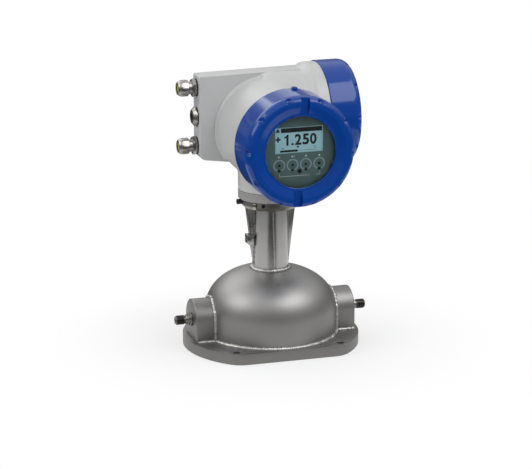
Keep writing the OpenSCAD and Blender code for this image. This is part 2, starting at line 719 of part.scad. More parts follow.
module o_ring(thread_r) rotate_extrude() translate([thread_r + gap + seal_r, gap + seal_r + 0.2])
    circle(r = seal_r, $fn = 24);
module front_seal() color(dark) at_display() translate([0, 0, display_front_y]) o_ring(display_thread_r);
module terminal_seal() color(dark) at_terminal() translate([0, 0, terminal_face_x]) o_ring(terminal_thread_r);

module terminal_cover() color(blue) at_terminal() translate([0, 0, terminal_face_x]) difference() {
    cover_body(terminal_cover_r, terminal_cover_len, 44, 3);
    rotate(90) cover_cuts(terminal_cover_r, terminal_cover_len);
    cover_skirt_bore(terminal_thread_r);
    cylinder(r = terminal_thread_r - 5, h = terminal_cover_len - 9);
}

// ---------- cable entries ----------
module gland_body(z) color(bright) at_entry(z) difference() {
    union() {
        translate([0, 0, -entry_wall]) cylinder(r = entry_r - fit, h = entry_wall + 2);
        translate([0, 0, gland_gasket_t]) hexagon(gland_af, gland_hex_t);
        cylinder(r = gland_neck_r, h = gland_cap_start);
        cylinder(r = gland_barrel_r, h = gland_cap_start + gland_barrel_len);
    }
    translate([0, 0, -entry_wall - 1]) cylinder(r = gland_bore_r, h = gland_cap_end);
}
module upper_gland_body() gland_body(gland_entries[0]);
module lower_gland_body() gland_body(gland_entries[1]);
module gland_gaskets() color(dark) for (z = gland_entries) at_entry(z)
    ring(gland_af / 2 + 1, entry_r + fit, gland_gasket_t);

// Cap nut: a rounded hexagon with a domed end and a mouth for the cable
module gland_cap(z) color(bright) at_entry(z) translate([0, 0, gland_cap_start + gap]) difference() {
    intersection() {
        rotate_extrude() polygon([[0, 0], [gland_cap_d / 2 - 0.6, 0], [gland_cap_d / 2, 0.6],
            [gland_cap_d / 2, gland_cap_len * 0.55], [gland_cap_d / 2 - 1, gland_cap_len * 0.75],
            [gland_cap_d / 2 - 2.2, gland_cap_len - 1], [gland_cap_d / 2 - 3, gland_cap_len], [0, gland_cap_len]]);
        hexagon(gland_cap_d - 1.2, gland_cap_len);
    }
    translate([0, 0, -1]) cylinder(r = gland_barrel_r + run, h = gland_cap_len - gland_lip + 1);
    cylinder(r = gland_mouth_r, h = gland_cap_len + 1);
}
module upper_gland_cap() gland_cap(gland_entries[0]);
module lower_gland_cap() gland_cap(gland_entries[1]);

// Soft seal pressed on the cable between the barrel and the cap's end
module gland_seal(z) color("#a5b02e") at_entry(z) difference() {
    translate([0, 0, gland_cap_start + gland_barrel_len + gap])
        cylinder(r = gland_seal_r, h = gland_cap_len - gland_lip - gland_barrel_len - gap);
    cylinder(d = cable_d, h = gland_cap_end + 5);
}
module upper_gland_seal() gland_seal(gland_entries[0]);
module lower_gland_seal() gland_seal(gland_entries[1]);

module blanking_plug() color(bright) at_entry(entry_z) difference() {
    union() {
        translate([0, 0, -entry_wall]) cylinder(r = entry_r - fit, h = entry_wall + 2);
        rotate_extrude() polygon([[0, plug_gasket_t], [plug_r - 0.4, plug_gasket_t],
            [plug_r, plug_gasket_t + 0.4], [plug_r, plug_flange_t - 1.4], [plug_r - 1.5, plug_flange_t],
            [plug_r - 3.2, plug_flange_t + 0.4], [plug_r - 3.6, plug_t - 0.9], [plug_r - 4.6, plug_t],
            [0, plug_t]]);
    }
    translate([0, 0, plug_t - key_depth]) hexagon(key_af, plug_t);
}
module plug_gasket() color(dark) at_entry(entry_z) ring(plug_r - 1, entry_r + fit, plug_gasket_t);

base_plate();
dome_shell();
end_block(-1);  // inlet_block
end_block(1);  // outlet_block
end_fitting(-1);  // inlet_fitting
end_fitting(1);  // outlet_fitting
weld_beads();
measuring_tube();
tube_frame();
coil_bridge();
drive_coil();
drive_magnet();
pickup_coils();
pickup_magnets();
temperature_sensor();
feedthrough();
neck_column();
neck_collar();
earth_lug();
clamp_screws();
recessed_screws();
swivel_stop();
adapter_ring();
converter_housing();
electronics_module();
display_board();
display_unit();
display_face();
lcd_panel();
terminal_carrier();
terminal_block();
terminal_screws();
upper_gland_body();
lower_gland_body();
gland_gaskets();
blanking_plug();
plug_gasket();
front_seal();
front_cover();
window_gasket();
window_glass();
window_ring();
cover_lock_screw();
terminal_seal();
terminal_cover();
upper_gland_seal();
upper_gland_cap();
lower_gland_seal();
lower_gland_cap();
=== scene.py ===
# %% [markdown]
# # Coriolis flow meter
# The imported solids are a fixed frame, and every piece made here rides on one of its
# bodies. The sensor stands on its base plate, and the converter swivels on the neck.
# Lengths below are written in millimetres and times MM they are the metres that
# Blender works in, so a number in a cell can be checked with callipers.

# %% Load the frame
import math
import random

import bmesh
import bpy
from mathutils import Matrix, Vector


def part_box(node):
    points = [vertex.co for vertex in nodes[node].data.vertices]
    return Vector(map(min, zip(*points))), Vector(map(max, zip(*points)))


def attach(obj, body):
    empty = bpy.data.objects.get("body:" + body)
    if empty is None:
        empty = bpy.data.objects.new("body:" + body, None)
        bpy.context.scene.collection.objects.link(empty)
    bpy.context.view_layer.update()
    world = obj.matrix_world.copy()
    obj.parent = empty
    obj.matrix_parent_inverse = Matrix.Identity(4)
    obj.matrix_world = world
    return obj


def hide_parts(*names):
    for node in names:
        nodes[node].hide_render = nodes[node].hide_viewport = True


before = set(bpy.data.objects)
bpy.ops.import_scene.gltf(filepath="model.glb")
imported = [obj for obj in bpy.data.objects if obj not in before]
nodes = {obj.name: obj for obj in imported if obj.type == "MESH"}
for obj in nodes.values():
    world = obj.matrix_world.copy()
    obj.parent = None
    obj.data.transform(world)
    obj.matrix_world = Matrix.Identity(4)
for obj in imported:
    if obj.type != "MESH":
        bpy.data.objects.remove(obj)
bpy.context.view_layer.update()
MM = 0.001

# %% [markdown]
# ## Where things are
# A node's box gives an axis exactly, as a turned piece is centred in its box. The
# display's axis comes from the window glass and the terminal axis from the round
# carrier board. Each seat is a matrix whose local Z points out of the housing.

# %% Seats


def middle(node):
    """Centre of a node's box, in metres."""
    low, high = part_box(node)
    return (low + high) / 2


def size_mm(node):
    """Sides of a node's box, in millimetres."""
    low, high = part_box(node)
    return (high - low) / MM


def seat(x, y, z, turn=None):
    """A matrix that places local Z-up work, given in millimetres."""
    place = Matrix.Translation(Vector((x, y, z)) * MM)
    return place @ turn if turn else place


FACING_FRONT = Matrix.Rotation(math.radians(90), 4, "X")
FACING_RIGHT = Matrix.Rotation(math.radians(90), 4, "Y")
FACING_LEFT = Matrix.Rotation(math.radians(-90), 4, "Y")

PLATE_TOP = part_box("base_plate")[1].z / MM
PIPE_Z = middle("outlet_fitting").z / MM
DOME_R = size_mm("dome_shell").y / 2
SKIRT = PLATE_TOP + 26.5
CAP_H, FULLNESS = 57, 2.25
NECK_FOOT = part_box("neck_column")[0].z / MM
COLLAR_LOW, COLLAR_HIGH = (corner.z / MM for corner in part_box("neck_collar"))
SEAT_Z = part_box("adapter_ring")[1].z / MM
DISPLAY_Z = middle("window_glass").z / MM
SHOULDER_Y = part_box("front_cover")[1].y / MM + 0.3
TERMINAL_Y = middle("terminal_carrier").y / MM
TERMINAL_Z = middle("terminal_carrier").z / MM
SHOULDER_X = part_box("terminal_cover")[0].x / MM - 0.3
ENTRY_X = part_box("gland_gaskets")[1].x / MM
ENTRY_Y = middle("plug_gasket").y / MM
ENTRY_Z = middle("plug_gasket").z / MM
UPPER_Z = middle("upper_gland_seal").z / MM
LOWER_Z = middle("lower_gland_seal").z / MM

DISPLAY = seat(0, 0, DISPLAY_Z, FACING_FRONT)
DISPLAY_SHOULDER = seat(0, SHOULDER_Y, DISPLAY_Z, FACING_FRONT)
TERMINAL = seat(0, TERMINAL_Y, TERMINAL_Z, FACING_RIGHT)
TERMINAL_SHOULDER = seat(SHOULDER_X, TERMINAL_Y, TERMINAL_Z, FACING_RIGHT)
print("display axis at", round(DISPLAY_Z, 2), "terminal axis at", round(TERMINAL_Y, 2), round(TERMINAL_Z, 2))

# %% [markdown]
# ## Camera
# A long lens looks from the left and a little above, so upright edges stay upright
# and the ellipses of the covers are nearly those of a drawing.

# %% Camera
AZIMUTH, PITCH, ROLL = math.radians(-17.13), math.radians(15.28), math.radians(-0.15)
DISTANCE = 3.1974
right = Vector((math.cos(AZIMUTH), math.sin(AZIMUTH), 0))
back = Vector((math.sin(AZIMUTH) * math.cos(PITCH), -math.cos(AZIMUTH) * math.cos(PITCH), math.sin(PITCH)))
aim = Vector((0, 0, 136.14 * MM)) - 5.352 * MM * right

lens_data = bpy.data.cameras.new("camera")
lens_data.sensor_width = 36
lens_data.lens = 175.94
camera = bpy.data.objects.new("camera", lens_data)
bpy.context.scene.collection.objects.link(camera)
camera.rotation_mode = "QUATERNION"
camera.location = aim + back * DISTANCE
camera.rotation_quaternion = (-back).to_track_quat("-Z", "Y") @ Matrix.Rotation(ROLL, 3, "Z").to_quaternion()
bpy.context.scene.camera = camera
bpy.context.scene.view_settings.view_transform = "Standard"

# %% [markdown]
# ## Materials
# A finish starts from what the real surface is made of and how it was worked. One
# helper turns hex colours to linear ones and one adds a node with its settings and
# links. `surface` builds what every finish shares: a slow drift of colour and
# roughness, and a fine grain in the bump, both scaled from a size in millimetres.

# %% Colour, nodes and the shared surface


def linear(code):
    """Turns an sRGB hex colour into the linear colour that shaders work with."""
    channels = []
    for start in (1, 3, 5):
        level = int(code[start:start + 2], 16) / 255
        channels.append(level / 12.92 if level <= 0.04045 else ((level + 0.055) / 1.055) ** 2.4)
    return (*channels, 1.0)


def add(tree, kind, inputs=None, **settings):
    """Adds one shader node; inputs maps a socket's name or number to a value or another socket."""
    made = tree.nodes.new("ShaderNode" + kind)
    for name, value in settings.items():
        setattr(made, name, value)
    for name, value in (inputs or {}).items():
        if isinstance(value, bpy.types.NodeSocket):
            tree.links.new(value, made.inputs[name])
        else:
            made.inputs[name].default_value = value
    return made


def empty_tree(owner):
    """The cleared node tree of a new material or world."""
    owner.use_nodes = True
    owner.node_tree.nodes.clear()
    return owner.node_tree


def surface(name, colour, drift, roughness, spot_mm=18, grain_mm=0.7, depth_mm=0.01,
            stretch=(1, 1, 1), **sockets):
    """A finish whose colour runs from colour to drift and whose roughness spans a pair."""
    made = bpy.data.materials.new(name)
    tree = empty_tree(made)
    place = add(tree, "TexCoord").outputs["Object"]
    stretched = add(tree, "Mapping", {"Vector": place, "Scale": stretch}).outputs["Vector"]
    spots = add(tree, "TexNoise", {"Vector": place, "Scale": 1 / (spot_mm * MM), "Detail": 3.0})
    grain = add(tree, "TexNoise", {"Vector": stretched, "Scale": 1 / (grain_mm * MM), "Detail": 2.0})
    tint = add(tree, "Mix", {0: spots.outputs["Fac"], 6: linear(colour), 7: linear(drift)}, data_type="RGBA")
    rough = add(tree, "MapRange", {"Value": spots.outputs["Fac"], 3: roughness[0], 4: roughness[1]})
    bump = add(tree, "Bump", {"Height": grain.outputs["Fac"], "Distance": depth_mm * MM, "Strength": 1.0})
    shader = add(tree, "BsdfPrincipled", {
        "Base Color": tint.outputs[2], "Roughness": rough.outputs["Result"],
        "Normal": bump.outputs["Normal"], **sockets})
    add(tree, "OutputMaterial", {"Surface": shader.outputs[0]})
    return made


# %% [markdown]
# ### Metals
# The dome and plate are glass bead blasted after welding, which leaves an even satin
# without direction. The neck is brushed lengthwise, so its streaks run up it. The
# threads are painted a dark steel, and the nuts are nickel plated brass,
# bright enough to mirror the studio.

# %% Metals
METAL = {"Metallic": 1.0}
blasted_stainless = surface("bead_blasted_stainless", "#8e8d8c", "#959493", (0.43, 0.5),
                            spot_mm=30, grain_mm=0.6, depth_mm=0.02, **METAL)
blasted_plate = surface("bead_blasted_thick_plate", "#807f7d", "#888785", (0.43, 0.5),
                        spot_mm=30, grain_mm=0.6, depth_mm=0.03, **METAL)
brushed_stainless = surface("brushed_stainless", "#a8a7a6", "#b6b5b4", (0.2, 0.26), spot_mm=12,
                            grain_mm=0.5, depth_mm=0.012, stretch=(1, 1, 0.03), **METAL)
turned_stainless = surface("turned_stainless", "#85837f", "#929089", (0.28, 0.36), spot_mm=6,
                           grain_mm=0.4, depth_mm=0.01, stretch=(1, 0.05, 0.05), **METAL)
weld_metal = surface("weld_bead_metal", "#c6c5c2", "#94928f", (0.32, 0.52), spot_mm=5,
                     grain_mm=0.9, depth_mm=0.08, **METAL)
bright_screw = surface("polished_stainless_screw", "#bdbab4", "#a9a6a0", (0.18, 0.25), spot_mm=4, **METAL)
# The threads are painted darker than the turned steel beside them.
dark_thread = surface("dark_stainless_thread", "#565350", "#66625f", (0.25, 0.4), spot_mm=3, **METAL)
blackened_steel = surface("blackened_steel", "#505052", "#434345", (0.35, 0.5), spot_mm=4, **METAL)
nickel_brass = surface("nickel_plated_brass", "#a7a4a0", "#979490", (0.28, 0.36), spot_mm=5,
                       grain_mm=1.2, depth_mm=0.006, **METAL)
copper_winding = surface("enamelled_copper_winding", "#b0682c", "#8f4f1f", (0.25, 0.4), spot_mm=2,
                         grain_mm=0.3, depth_mm=0.08, **METAL)

# %% [markdown]
# ### Coats, plastics and glass
# The casting is die-cast aluminium with a polyester powder coat. Powder flows into a
# faint orange peel about two millimetres across. The blue covers have the same coat
# with more gloss. The display's front is a printed film, and the panel behind it is
# glass over a pale blue backlight whose glow is partly painted light, set stronger to make up for what the window
# holds back.

# %% Coats, plastics and glass
grey_coat = surface("light_grey_powder_coat", "#c1c2c2", "#bdbdbe", (0.34, 0.4), spot_mm=40,
                    grain_mm=1.8, depth_mm=0.012)
ring_coat = surface("grey_powder_coat", "#9d9c9b", "#959493", (0.36, 0.44), spot_mm=20,
                    grain_mm=1.8, depth_mm=0.012)
blue_coat = surface("blue_powder_coat", "#003f98", "#003b90", (0.1, 0.13), spot_mm=40,
                    grain_mm=2.2, depth_mm=0.004, **{"Specular IOR Level": 0.4})
black_plastic = surface("moulded_black_plastic", "#1d1f21", "#232527", (0.45, 0.55), grain_mm=0.4)
black_rubber = surface("black_rubber", "#17181a", "#1d1e20", (0.6, 0.7), grain_mm=0.5, depth_mm=0.03)
lime_rubber = surface("yellow_green_rubber", "#c6c97c", "#bbbf6e", (0.5, 0.6), spot_mm=4, grain_mm=0.5)
printed_film = surface("printed_slate_film", "#74908f", "#6f8b8a", (0.4, 0.5), spot_mm=30,
                       grain_mm=0.3, depth_mm=0.003)
# The emission is partly the panel's backlight and partly painted light, strong enough to make up for the lamp light
# that the window glass holds back.
panel_glass = surface("backlit_panel_painted_glow", "#c6f0fa", "#cbf3fc", (0.18, 0.24), spot_mm=25,
                      grain_mm=0.5, depth_mm=0.001,
                      **{"Emission Color": linear("#9fd0de"), "Emission Strength": 0.16})
panel_ink = surface("dark_panel_segments", "#131a1d", "#182023", (0.4, 0.5), spot_mm=5)
white_print = surface("white_screen_print", "#eef4f5", "#e6edef", (0.5, 0.6), spot_mm=5)
pale_print = surface("pale_blue_screen_print", "#b9d0da", "#b0c8d2", (0.5, 0.6), spot_mm=5)
dark_sensor = surface("infrared_window", "#12181b", "#171d20", (0.2, 0.3), spot_mm=5)
board_lacquer = surface("green_circuit_lacquer", "#1d5a34", "#22663b", (0.3, 0.45), spot_mm=8)
terminal_plastic = surface("green_moulded_terminals", "#3a6b46", "#35623f", (0.4, 0.5), spot_mm=8)
toughened_glass = surface("toughened_glass", "#f4f8f8", "#f0f5f5", (0.0, 0.02), depth_mm=0.0,
                          **{"Transmission Weight": 1.0, "IOR": 1.45, "Specular IOR Level": 0.5})
print("finishes:", len(bpy.data.materials))

# %% [markdown]
# ## Studio
# Products are lit by large soft boxes, here one ahead, one at the left and one
# behind, against a bright backdrop. Steel and gloss paint show what surrounds
# them, so reflections see a room that darkens towards the floor.

# %% Studio
scene = bpy.context.scene
TARGET = Vector((0, 0, 0.2))


def soft_box(name, towards, distance, width, height, radiance):
    """A square lamp that looks at the object; radiance 1 shows as white in a mirror."""
    lamp = bpy.data.lights.new(name, "AREA")
    lamp.shape = "RECTANGLE"
    lamp.size, lamp.size_y = width, height
    lamp.energy = radiance * math.pi * width * height
    box = bpy.data.objects.new(name, lamp)
    way = Vector(towards).normalized()
    box.location = TARGET + way * distance
    box.rotation_mode = "QUATERNION"
    box.rotation_quaternion = way.to_track_quat("Z", "Y")
    scene.collection.objects.link(box)
    return box


def looking_rays(tree):
    """The light path's sockets, and one that is 1 for camera, glossy and transmission rays."""
    ray = add(tree, "LightPath").outputs
    seen = add(tree, "Math", {0: ray["Is Camera Ray"], 1: ray["Is Glossy Ray"]}, operation="MAXIMUM")
    seen = add(tree, "Math", {0: seen.outputs[0], 1: ray["Is Transmission Ray"]}, operation="MAXIMUM")
    return ray, seen.outputs[0]


soft_box("soft_box_front", (0.42, -0.50, 0.80), 1.6, 1.25, 1.0, 3.2)
soft_box("soft_box_left", (-0.80, -0.02, 0.60), 1.6, 1.0, 1.0, 2.6)
soft_box("soft_box_back", (-0.45, 1.0, 0.85), 1.9, 1.4, 0.9, 1.6)

world = bpy.data.worlds.new("studio_room")
scene.world = world
tree = empty_tree(world)
ray, seen = looking_rays(tree)
level = add(tree, "MapRange", {"Value": seen, 3: 0.42, 4: 1.0})
height = add(tree, "SeparateXYZ", {0: add(tree, "TexCoord").outputs["Generated"]}).outputs["Z"]
gloom = add(tree, "MapRange", {"Value": height, 1: 0.27, 2: 0.55, 3: 0.25, 4: 1.0})
mirrored = add(tree, "Mix", {0: ray["Is Glossy Ray"], 2: level.outputs["Result"], 3: gloom.outputs["Result"]})
room = add(tree, "Background", {"Color": (1, 1, 1, 1), "Strength": mirrored.outputs[0]})
add(tree, "OutputWorld", {"Surface": room.outputs[0]})

# %% [markdown]
# The floor is one large face. Near the object it is a plain matt surface that takes
# the shadow, and further out it turns to the backdrop's white. The cards round it are
# seen by reflections alone. Grey and dark ones shade the steel and the blue, and white
# ones put the light bands on the covers.

# %% Floor and cards


def plain_face(name, width, depth, place):
    """A single face for the studio, made where it stands."""
    bm = bmesh.new()
    bmesh.ops.create_grid(bm, x_segments=1, y_segments=1, size=0.5)
    bmesh.ops.scale(bm, vec=(width, depth, 1), verts=bm.verts)
    bmesh.ops.transform(bm, matrix=place, verts=bm.verts)
    mesh = bpy.data.meshes.new(name)
    bm.to_mesh(mesh)
    bm.free()
    made = bpy.data.objects.new(name, mesh)
    scene.collection.objects.link(made)
    return made


floor = plain_face("floor", 30, 30, Matrix.Translation((0, 0, -0.0002)))
paper = bpy.data.materials.new("white_paper_floor")
tree = empty_tree(paper)
place = add(tree, "TexCoord").outputs["Object"]
away = add(tree, "VectorMath", {0: place}, operation="LENGTH")
far = add(tree, "MapRange", {"Value": away.outputs["Value"], 1: 0.08, 2: 0.3, 3: 0.6},
          interpolation_type="SMOOTHSTEP")
ray, seen = looking_rays(tree)
share = add(tree, "Math", {0: seen, 1: far.outputs["Result"]}, operation="MULTIPLY")
matt = add(tree, "BsdfDiffuse", {"Color": linear("#f4f4f4")})
# Reflections see a painted pool of light on the floor: bright out to about 0.55 m and dark beyond 0.66 m.
painted_light_pool = add(tree, "MapRange", {"Value": away.outputs["Value"], 1: 0.55, 2: 0.66, 3: 0.95, 4: 0.1},
           interpolation_type="SMOOTHSTEP")
lit = add(tree, "Mix", {0: ray["Is Glossy Ray"], 2: 1.0, 3: painted_light_pool.outputs["Result"]})
white = add(tree, "Emission", {"Color": (1, 1, 1, 1), "Strength": lit.outputs[0]})
both = add(tree, "MixShader", {0: share.outputs[0], 1: matt.outputs[0], 2: white.outputs[0]})
add(tree, "OutputMaterial", {"Surface": both.outputs[0]})
floor.data.materials.append(paper)


def card(name, width, depth, place, shade):
    """A card that only reflections see."""
    made = plain_face(name, width, depth, place)
    for way in ("camera", "diffuse", "transmission", "volume_scatter", "shadow"):
        setattr(made, "visible_" + way, False)
    paint = bpy.data.materials.new(name + "_paint")
    tree = empty_tree(paint)
    glow = add(tree, "Emission", {"Color": linear(shade), "Strength": 1.0})
    add(tree, "OutputMaterial", {"Surface": glow.outputs[0]})
    made.data.materials.append(paint)


card("grey_card", 7.0, 3.6, Matrix.Translation((-0.2, -3.9, 0.5)) @ FACING_FRONT, "#8a8a8a")
card("dark_card", 0.45, 3.0,
     Matrix.Rotation(math.radians(-3), 4, "Z") @ Matrix.Translation((-0.025, -1.85, 0.002)), "#3c3c3c")
card("back_card", 1.3, 2.7, Matrix.Translation((0.4, 1.65, 0.002)), "#303030")
card("low_wall", 1.1, 0.5, Matrix.Translation((0.35, 2.6, 1.05)) @ FACING_FRONT, "#ffffff")
card("right_card", 0.3, 0.9, Matrix.Translation((0.95, 0.2, 0.003)), "#ffffff")

# %% [markdown]
# ## Modelling helpers
# Most of the meter was turned on a lathe, so most pieces are a profile spun round an
# axis. Cast and machined edges are never sharp: `soften` bevels them, which gives each
# rim its thin highlight. `combine` runs a boolean on two meshes, for bores and slots.

# %% Profiles and turning


def arc(centre_r, centre_z, radius_r, radius_z, start, end, steps):
    """Points of an elliptic arc in a profile; angles in degrees from the outward direction."""
    angles = [math.radians(start + (end - start) * i / steps) for i in range(steps + 1)]
    return [(centre_r + radius_r * math.cos(a), centre_z + radius_z * math.sin(a)) for a in angles]


def finely(profile, longest):
    """Adds points along a profile so that no step is longer than a length in millimetres."""
    points = [profile[0]]
    for (r0, z0), (r1, z1) in zip(profile, profile[1:]):
        count = max(1, math.ceil(math.dist((r0, z0), (r1, z1)) / longest))
        points += [(r0 + (r1 - r0) * i / count, z0 + (z1 - z0) * i / count) for i in range(1, count + 1)]
    return points


def turned(profile, steps=128, closed=False):
    """Spins a profile of (radius, height) points once round the Z axis."""
    bm = bmesh.new()
    points = [bm.verts.new((r * MM, 0, z * MM)) for r, z in profile]
    ends = points[1:] + points[:1] if closed else points[1:]
    for a, b in zip(points, ends):
        bm.edges.new((a, b))
    bmesh.ops.spin(bm, geom=bm.verts[:] + bm.edges[:], cent=(0, 0, 0), axis=(0, 0, 1),
                   angle=math.tau, steps=steps, use_merge=True)
    bmesh.ops.remove_doubles(bm, verts=bm.verts, dist=1e-6)
    bmesh.ops.recalc_face_normals(bm, faces=bm.faces)
    return bm


def soften(bm, width_mm, angle=35, segments=2, within=lambda edge: True):
    """Bevels every edge that turns by more than an angle."""
    sharp = [e for e in bm.edges if len(e.link_faces) == 2
             and e.calc_face_angle(0) > math.radians(angle) and within(e)]
    if sharp:
        bmesh.ops.bevel(bm, geom=sharp, offset=width_mm * MM, offset_type="OFFSET", segments=segments,
                        profile=0.5, affect="EDGES", clamp_overlap=True, material=-1)
    return bm


# %% Booleans and joining


def to_object(bm, name="work"):
    """Turns a bmesh into a linked object and frees it."""
    mesh = bpy.data.meshes.new(name)
    bm.to_mesh(mesh)
    bm.free()
    made = bpy.data.objects.new(name, mesh)
    scene.collection.objects.link(made)
    return made


def with_modifiers(obj):
    """The object's mesh with its modifiers applied, as a bmesh; the object is removed."""
    shown = obj.evaluated_get(bpy.context.evaluated_depsgraph_get())
    bm = bmesh.new()
    bm.from_mesh(shown.to_mesh())
    shown.to_mesh_clear()
    mesh = obj.data
    bpy.data.objects.remove(obj)
    bpy.data.meshes.remove(mesh)
    return bm


def joined(*parts):
    """One bmesh that holds several."""
    whole = bmesh.new()
    for part in parts:
        mesh = bpy.data.meshes.new("part")
        part.to_mesh(mesh)
        part.free()
        whole.from_mesh(mesh)
        bpy.data.meshes.remove(mesh)
    return whole


def combine(bm, tool, how="DIFFERENCE", solver="EXACT"):
    """Boolean of two bmeshes; both are used up."""
    work, other = to_object(bm), to_object(tool)
    step = work.modifiers.new("cut", "BOOLEAN")
    step.operation, step.object, step.solver = how, other, solver
    made = with_modifiers(work)
    mesh = other.data
    bpy.data.objects.remove(other)
    bpy.data.meshes.remove(mesh)
    return made


def cylinder(radius, low, high, sides=64):
    """A cylinder about Z, which is a prism when it has few sides."""
    bm = bmesh.new()
    bmesh.ops.create_cone(bm, cap_ends=True, segments=sides, radius1=radius * MM, radius2=radius * MM,
                          depth=(high - low) * MM)
    bmesh.ops.translate(bm, vec=(0, 0, (high + low) / 2 * MM), verts=bm.verts)
    return bm


def block(low, high):
    """A box between two corners given in millimetres."""
    bm = bmesh.new()
    bmesh.ops.create_cube(bm, size=1.0)
    sides = [(b - a) * MM for a, b in zip(low, high)]
    centre = [(b + a) / 2 * MM for a, b in zip(low, high)]
    bmesh.ops.scale(bm, vec=sides, verts=bm.verts)
    bmesh.ops.translate(bm, vec=centre, verts=bm.verts)
    return bm


def placed(bm, matrix):
    """Moves a bmesh by a matrix and keeps its faces outward in a mirror."""
    bmesh.ops.transform(bm, matrix=matrix, verts=bm.verts)
    if matrix.determinant() < 0:
        bmesh.ops.reverse_faces(bm, faces=bm.faces)
    return bm


# %% Finishing a piece


def piece(name, bm, body, material, stands_for=(), crease=38):
    """Turns a bmesh into a finished piece that rides on a body."""
    made = to_object(bm, name)
    made.data.materials.append(material)
    made.data.shade_smooth()
    made.data.set_sharp_from_angle(angle=math.radians(crease))
    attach(made, body)
    if stands_for:
        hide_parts(*stands_for)
    print(f"{name}: {len(made.data.polygons)} faces on {body}")
    return made


def helix(root_r, crest_r, pitch, low, high, steps=64):
    """A thread's ridge, wound round Z from low to high as one closed coil."""
    bm = bmesh.new()
    half = pitch * 0.46
    outline = [(root_r - 0.3, -half), (root_r, -half), (crest_r, -half * 0.15), (crest_r, half * 0.15),
               (root_r, half), (root_r - 0.3, half)]
    corners = [bm.verts.new((r * MM, 0, (low + half + z) * MM)) for r, z in outline]
    first = bm.faces.new(corners)
    turns = (high - low - 2 * half) / pitch
    count = max(8, round(steps * turns))
    bmesh.ops.spin(bm, geom=[first], cent=(0, 0, 0), axis=(0, 0, 1), angle=math.tau * turns,
                   dvec=(0, 0, pitch * turns / count * MM), steps=count, use_merge=False)
    bmesh.ops.recalc_face_normals(bm, faces=bm.faces)
    return bm


def dressed(node, bevel_mm, angle):
    """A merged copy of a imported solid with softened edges; the solid itself is left alone."""
    bm = bmesh.new()
    bm.from_mesh(nodes[node].data)
    bmesh.ops.remove_doubles(bm, verts=bm.verts, dist=1e-6)
    bmesh.ops.recalc_face_normals(bm, faces=bm.faces)
    bmesh.ops.dissolve_limit(bm, angle_limit=math.radians(1), verts=bm.verts, edges=bm.edges)
    return soften(bm, bevel_mm, angle)


def dressed_piece(name, node, bevel_mm, body, material, angle=35):
    """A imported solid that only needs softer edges, as a piece."""
    return piece(name, dressed(node, bevel_mm, angle), body, material, [node])


def bead(path, outward, radius, closed=False, ripple=1.8, seed=1, sides=10):
    """A weld bead along a path: overlapping puddles show as crescents across it."""
    rng = random.Random(seed)
    points = [Vector(p) for p in path]
    count = len(points)
    length = sum((b - a).length for a, b in zip(points, points[1:] + (points[:1] if closed else [])))
    ripple = length / max(1, round(length / ripple))
    uneven = [rng.uniform(0.86, 1.12) for _ in range(round(length / ripple) + 2)]
    bm = bmesh.new()
    rings, along = [], 0.0
    for i, point in enumerate(points):
        ahead = points[(i + 1) % count] if closed or i + 1 < count else point
        behind = points[i - 1] if closed or i else point
        tangent = (ahead - behind).normalized()
        out = Vector(outward(point))
        out = (out - tangent * out.dot(tangent)).normalized()
        side = tangent.cross(out)
        along += (point - points[i - 1]).length if i else 0
        ring = []
        for k in range(sides):
            turn = math.tau * k / sides
            step = along / ripple + 0.4 * math.cos(turn)
            swell = radius * uneven[int(step) % (len(uneven) - 1)] * (1.05 - 0.13 * (step % 1) ** 2)
            ring.append(bm.verts.new((point + (out * math.cos(turn) + side * math.sin(turn)) * swell) * MM))
        rings.append(ring)
    pairs = list(zip(rings, rings[1:] + (rings[:1] if closed else [])))
    for low, high in pairs:
        for k in range(sides):
            bm.faces.new((low[k], low[(k + 1) % sides], high[(k + 1) % sides], high[k]))
    if not closed:
        bm.faces.new(rings[0])
        bm.faces.new(rings[-1])
    bmesh.ops.recalc_face_normals(bm, faces=bm.faces)
    return bm


def line(start, end, step=0.45):
    """Points from start to end, close enough for a bead's ripples."""
    start, end = Vector(start), Vector(end)
    count = max(2, math.ceil((end - start).length / step))
    return [start.lerp(end, i / count) for i in range(count + 1)]


def prism(outline, low, high):
    """Extrudes a flat outline of (x, y) points from one height to another."""
    bm = bmesh.new()
    face = bm.faces.new([bm.verts.new((x * MM, y * MM, low * MM)) for x, y in outline])
    grown = bmesh.ops.extrude_face_region(bm, geom=[face])
    top = [v for v in grown["geom"] if isinstance(v, bmesh.types.BMVert)]
    bmesh.ops.translate(bm, vec=(0, 0, (high - low) * MM), verts=top)
    bmesh.ops.recalc_face_normals(bm, faces=bm.faces)
    return bm


# %% [markdown]
# ## Base plate
# On the real meter this is a stainless plate, water-jet cut to a circle with two flats,
# drilled, and blasted with the sensor. It could be a CAD copy with a bevel. It is drawn
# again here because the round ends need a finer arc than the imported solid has, as its
# rim is one of the brightest lines of the whole meter.

# %% Base plate
plate_size = size_mm("base_plate")
plate_r, plate_half = plate_size.x / 2, plate_size.y / 2
CORNER_R, RIM_EASE = 26, 0.8
HOLE_X, HOLE_Y, HOLE_R = 66, 74.5, 4.5
corner_y = plate_half - CORNER_R
corner_x = math.sqrt((plate_r - CORNER_R) ** 2 - corner_y ** 2)
meet = math.degrees(math.atan2(corner_y, corner_x))
quarter = arc(0, 0, plate_r, plate_r, 0, meet, 48) + arc(corner_x, corner_y, CORNER_R, CORNER_R, meet, 90, 10)[1:]
half = quarter + [(-x, y) for x, y in reversed(quarter)]
outline = half + [(x, -y) for x, y in reversed(half[1:-1])]
bm = prism(outline, 0, PLATE_TOP)
for x in (-HOLE_X, HOLE_X):
    for y in (-HOLE_Y, HOLE_Y):
        bm = combine(bm, placed(cylinder(HOLE_R, -1, PLATE_TOP + 1, 48), seat(x, y, 0)))
soften(bm, RIM_EASE, 45, 3)
piece("plate", bm, "sensor", blasted_plate, ["base_plate"])

# %% [markdown]
# ## Dome
# The cover of the measuring tube is spun or pressed from stainless sheet: an upright
# skirt that runs into an elliptical cap. One closed profile, outside and inside, is
# turned round Z. The two end blocks pass through its skirt, so their outline is cut
# out of it and the welds later close the seams.

# %% Dome
WALL = 3
NECK_R = 22


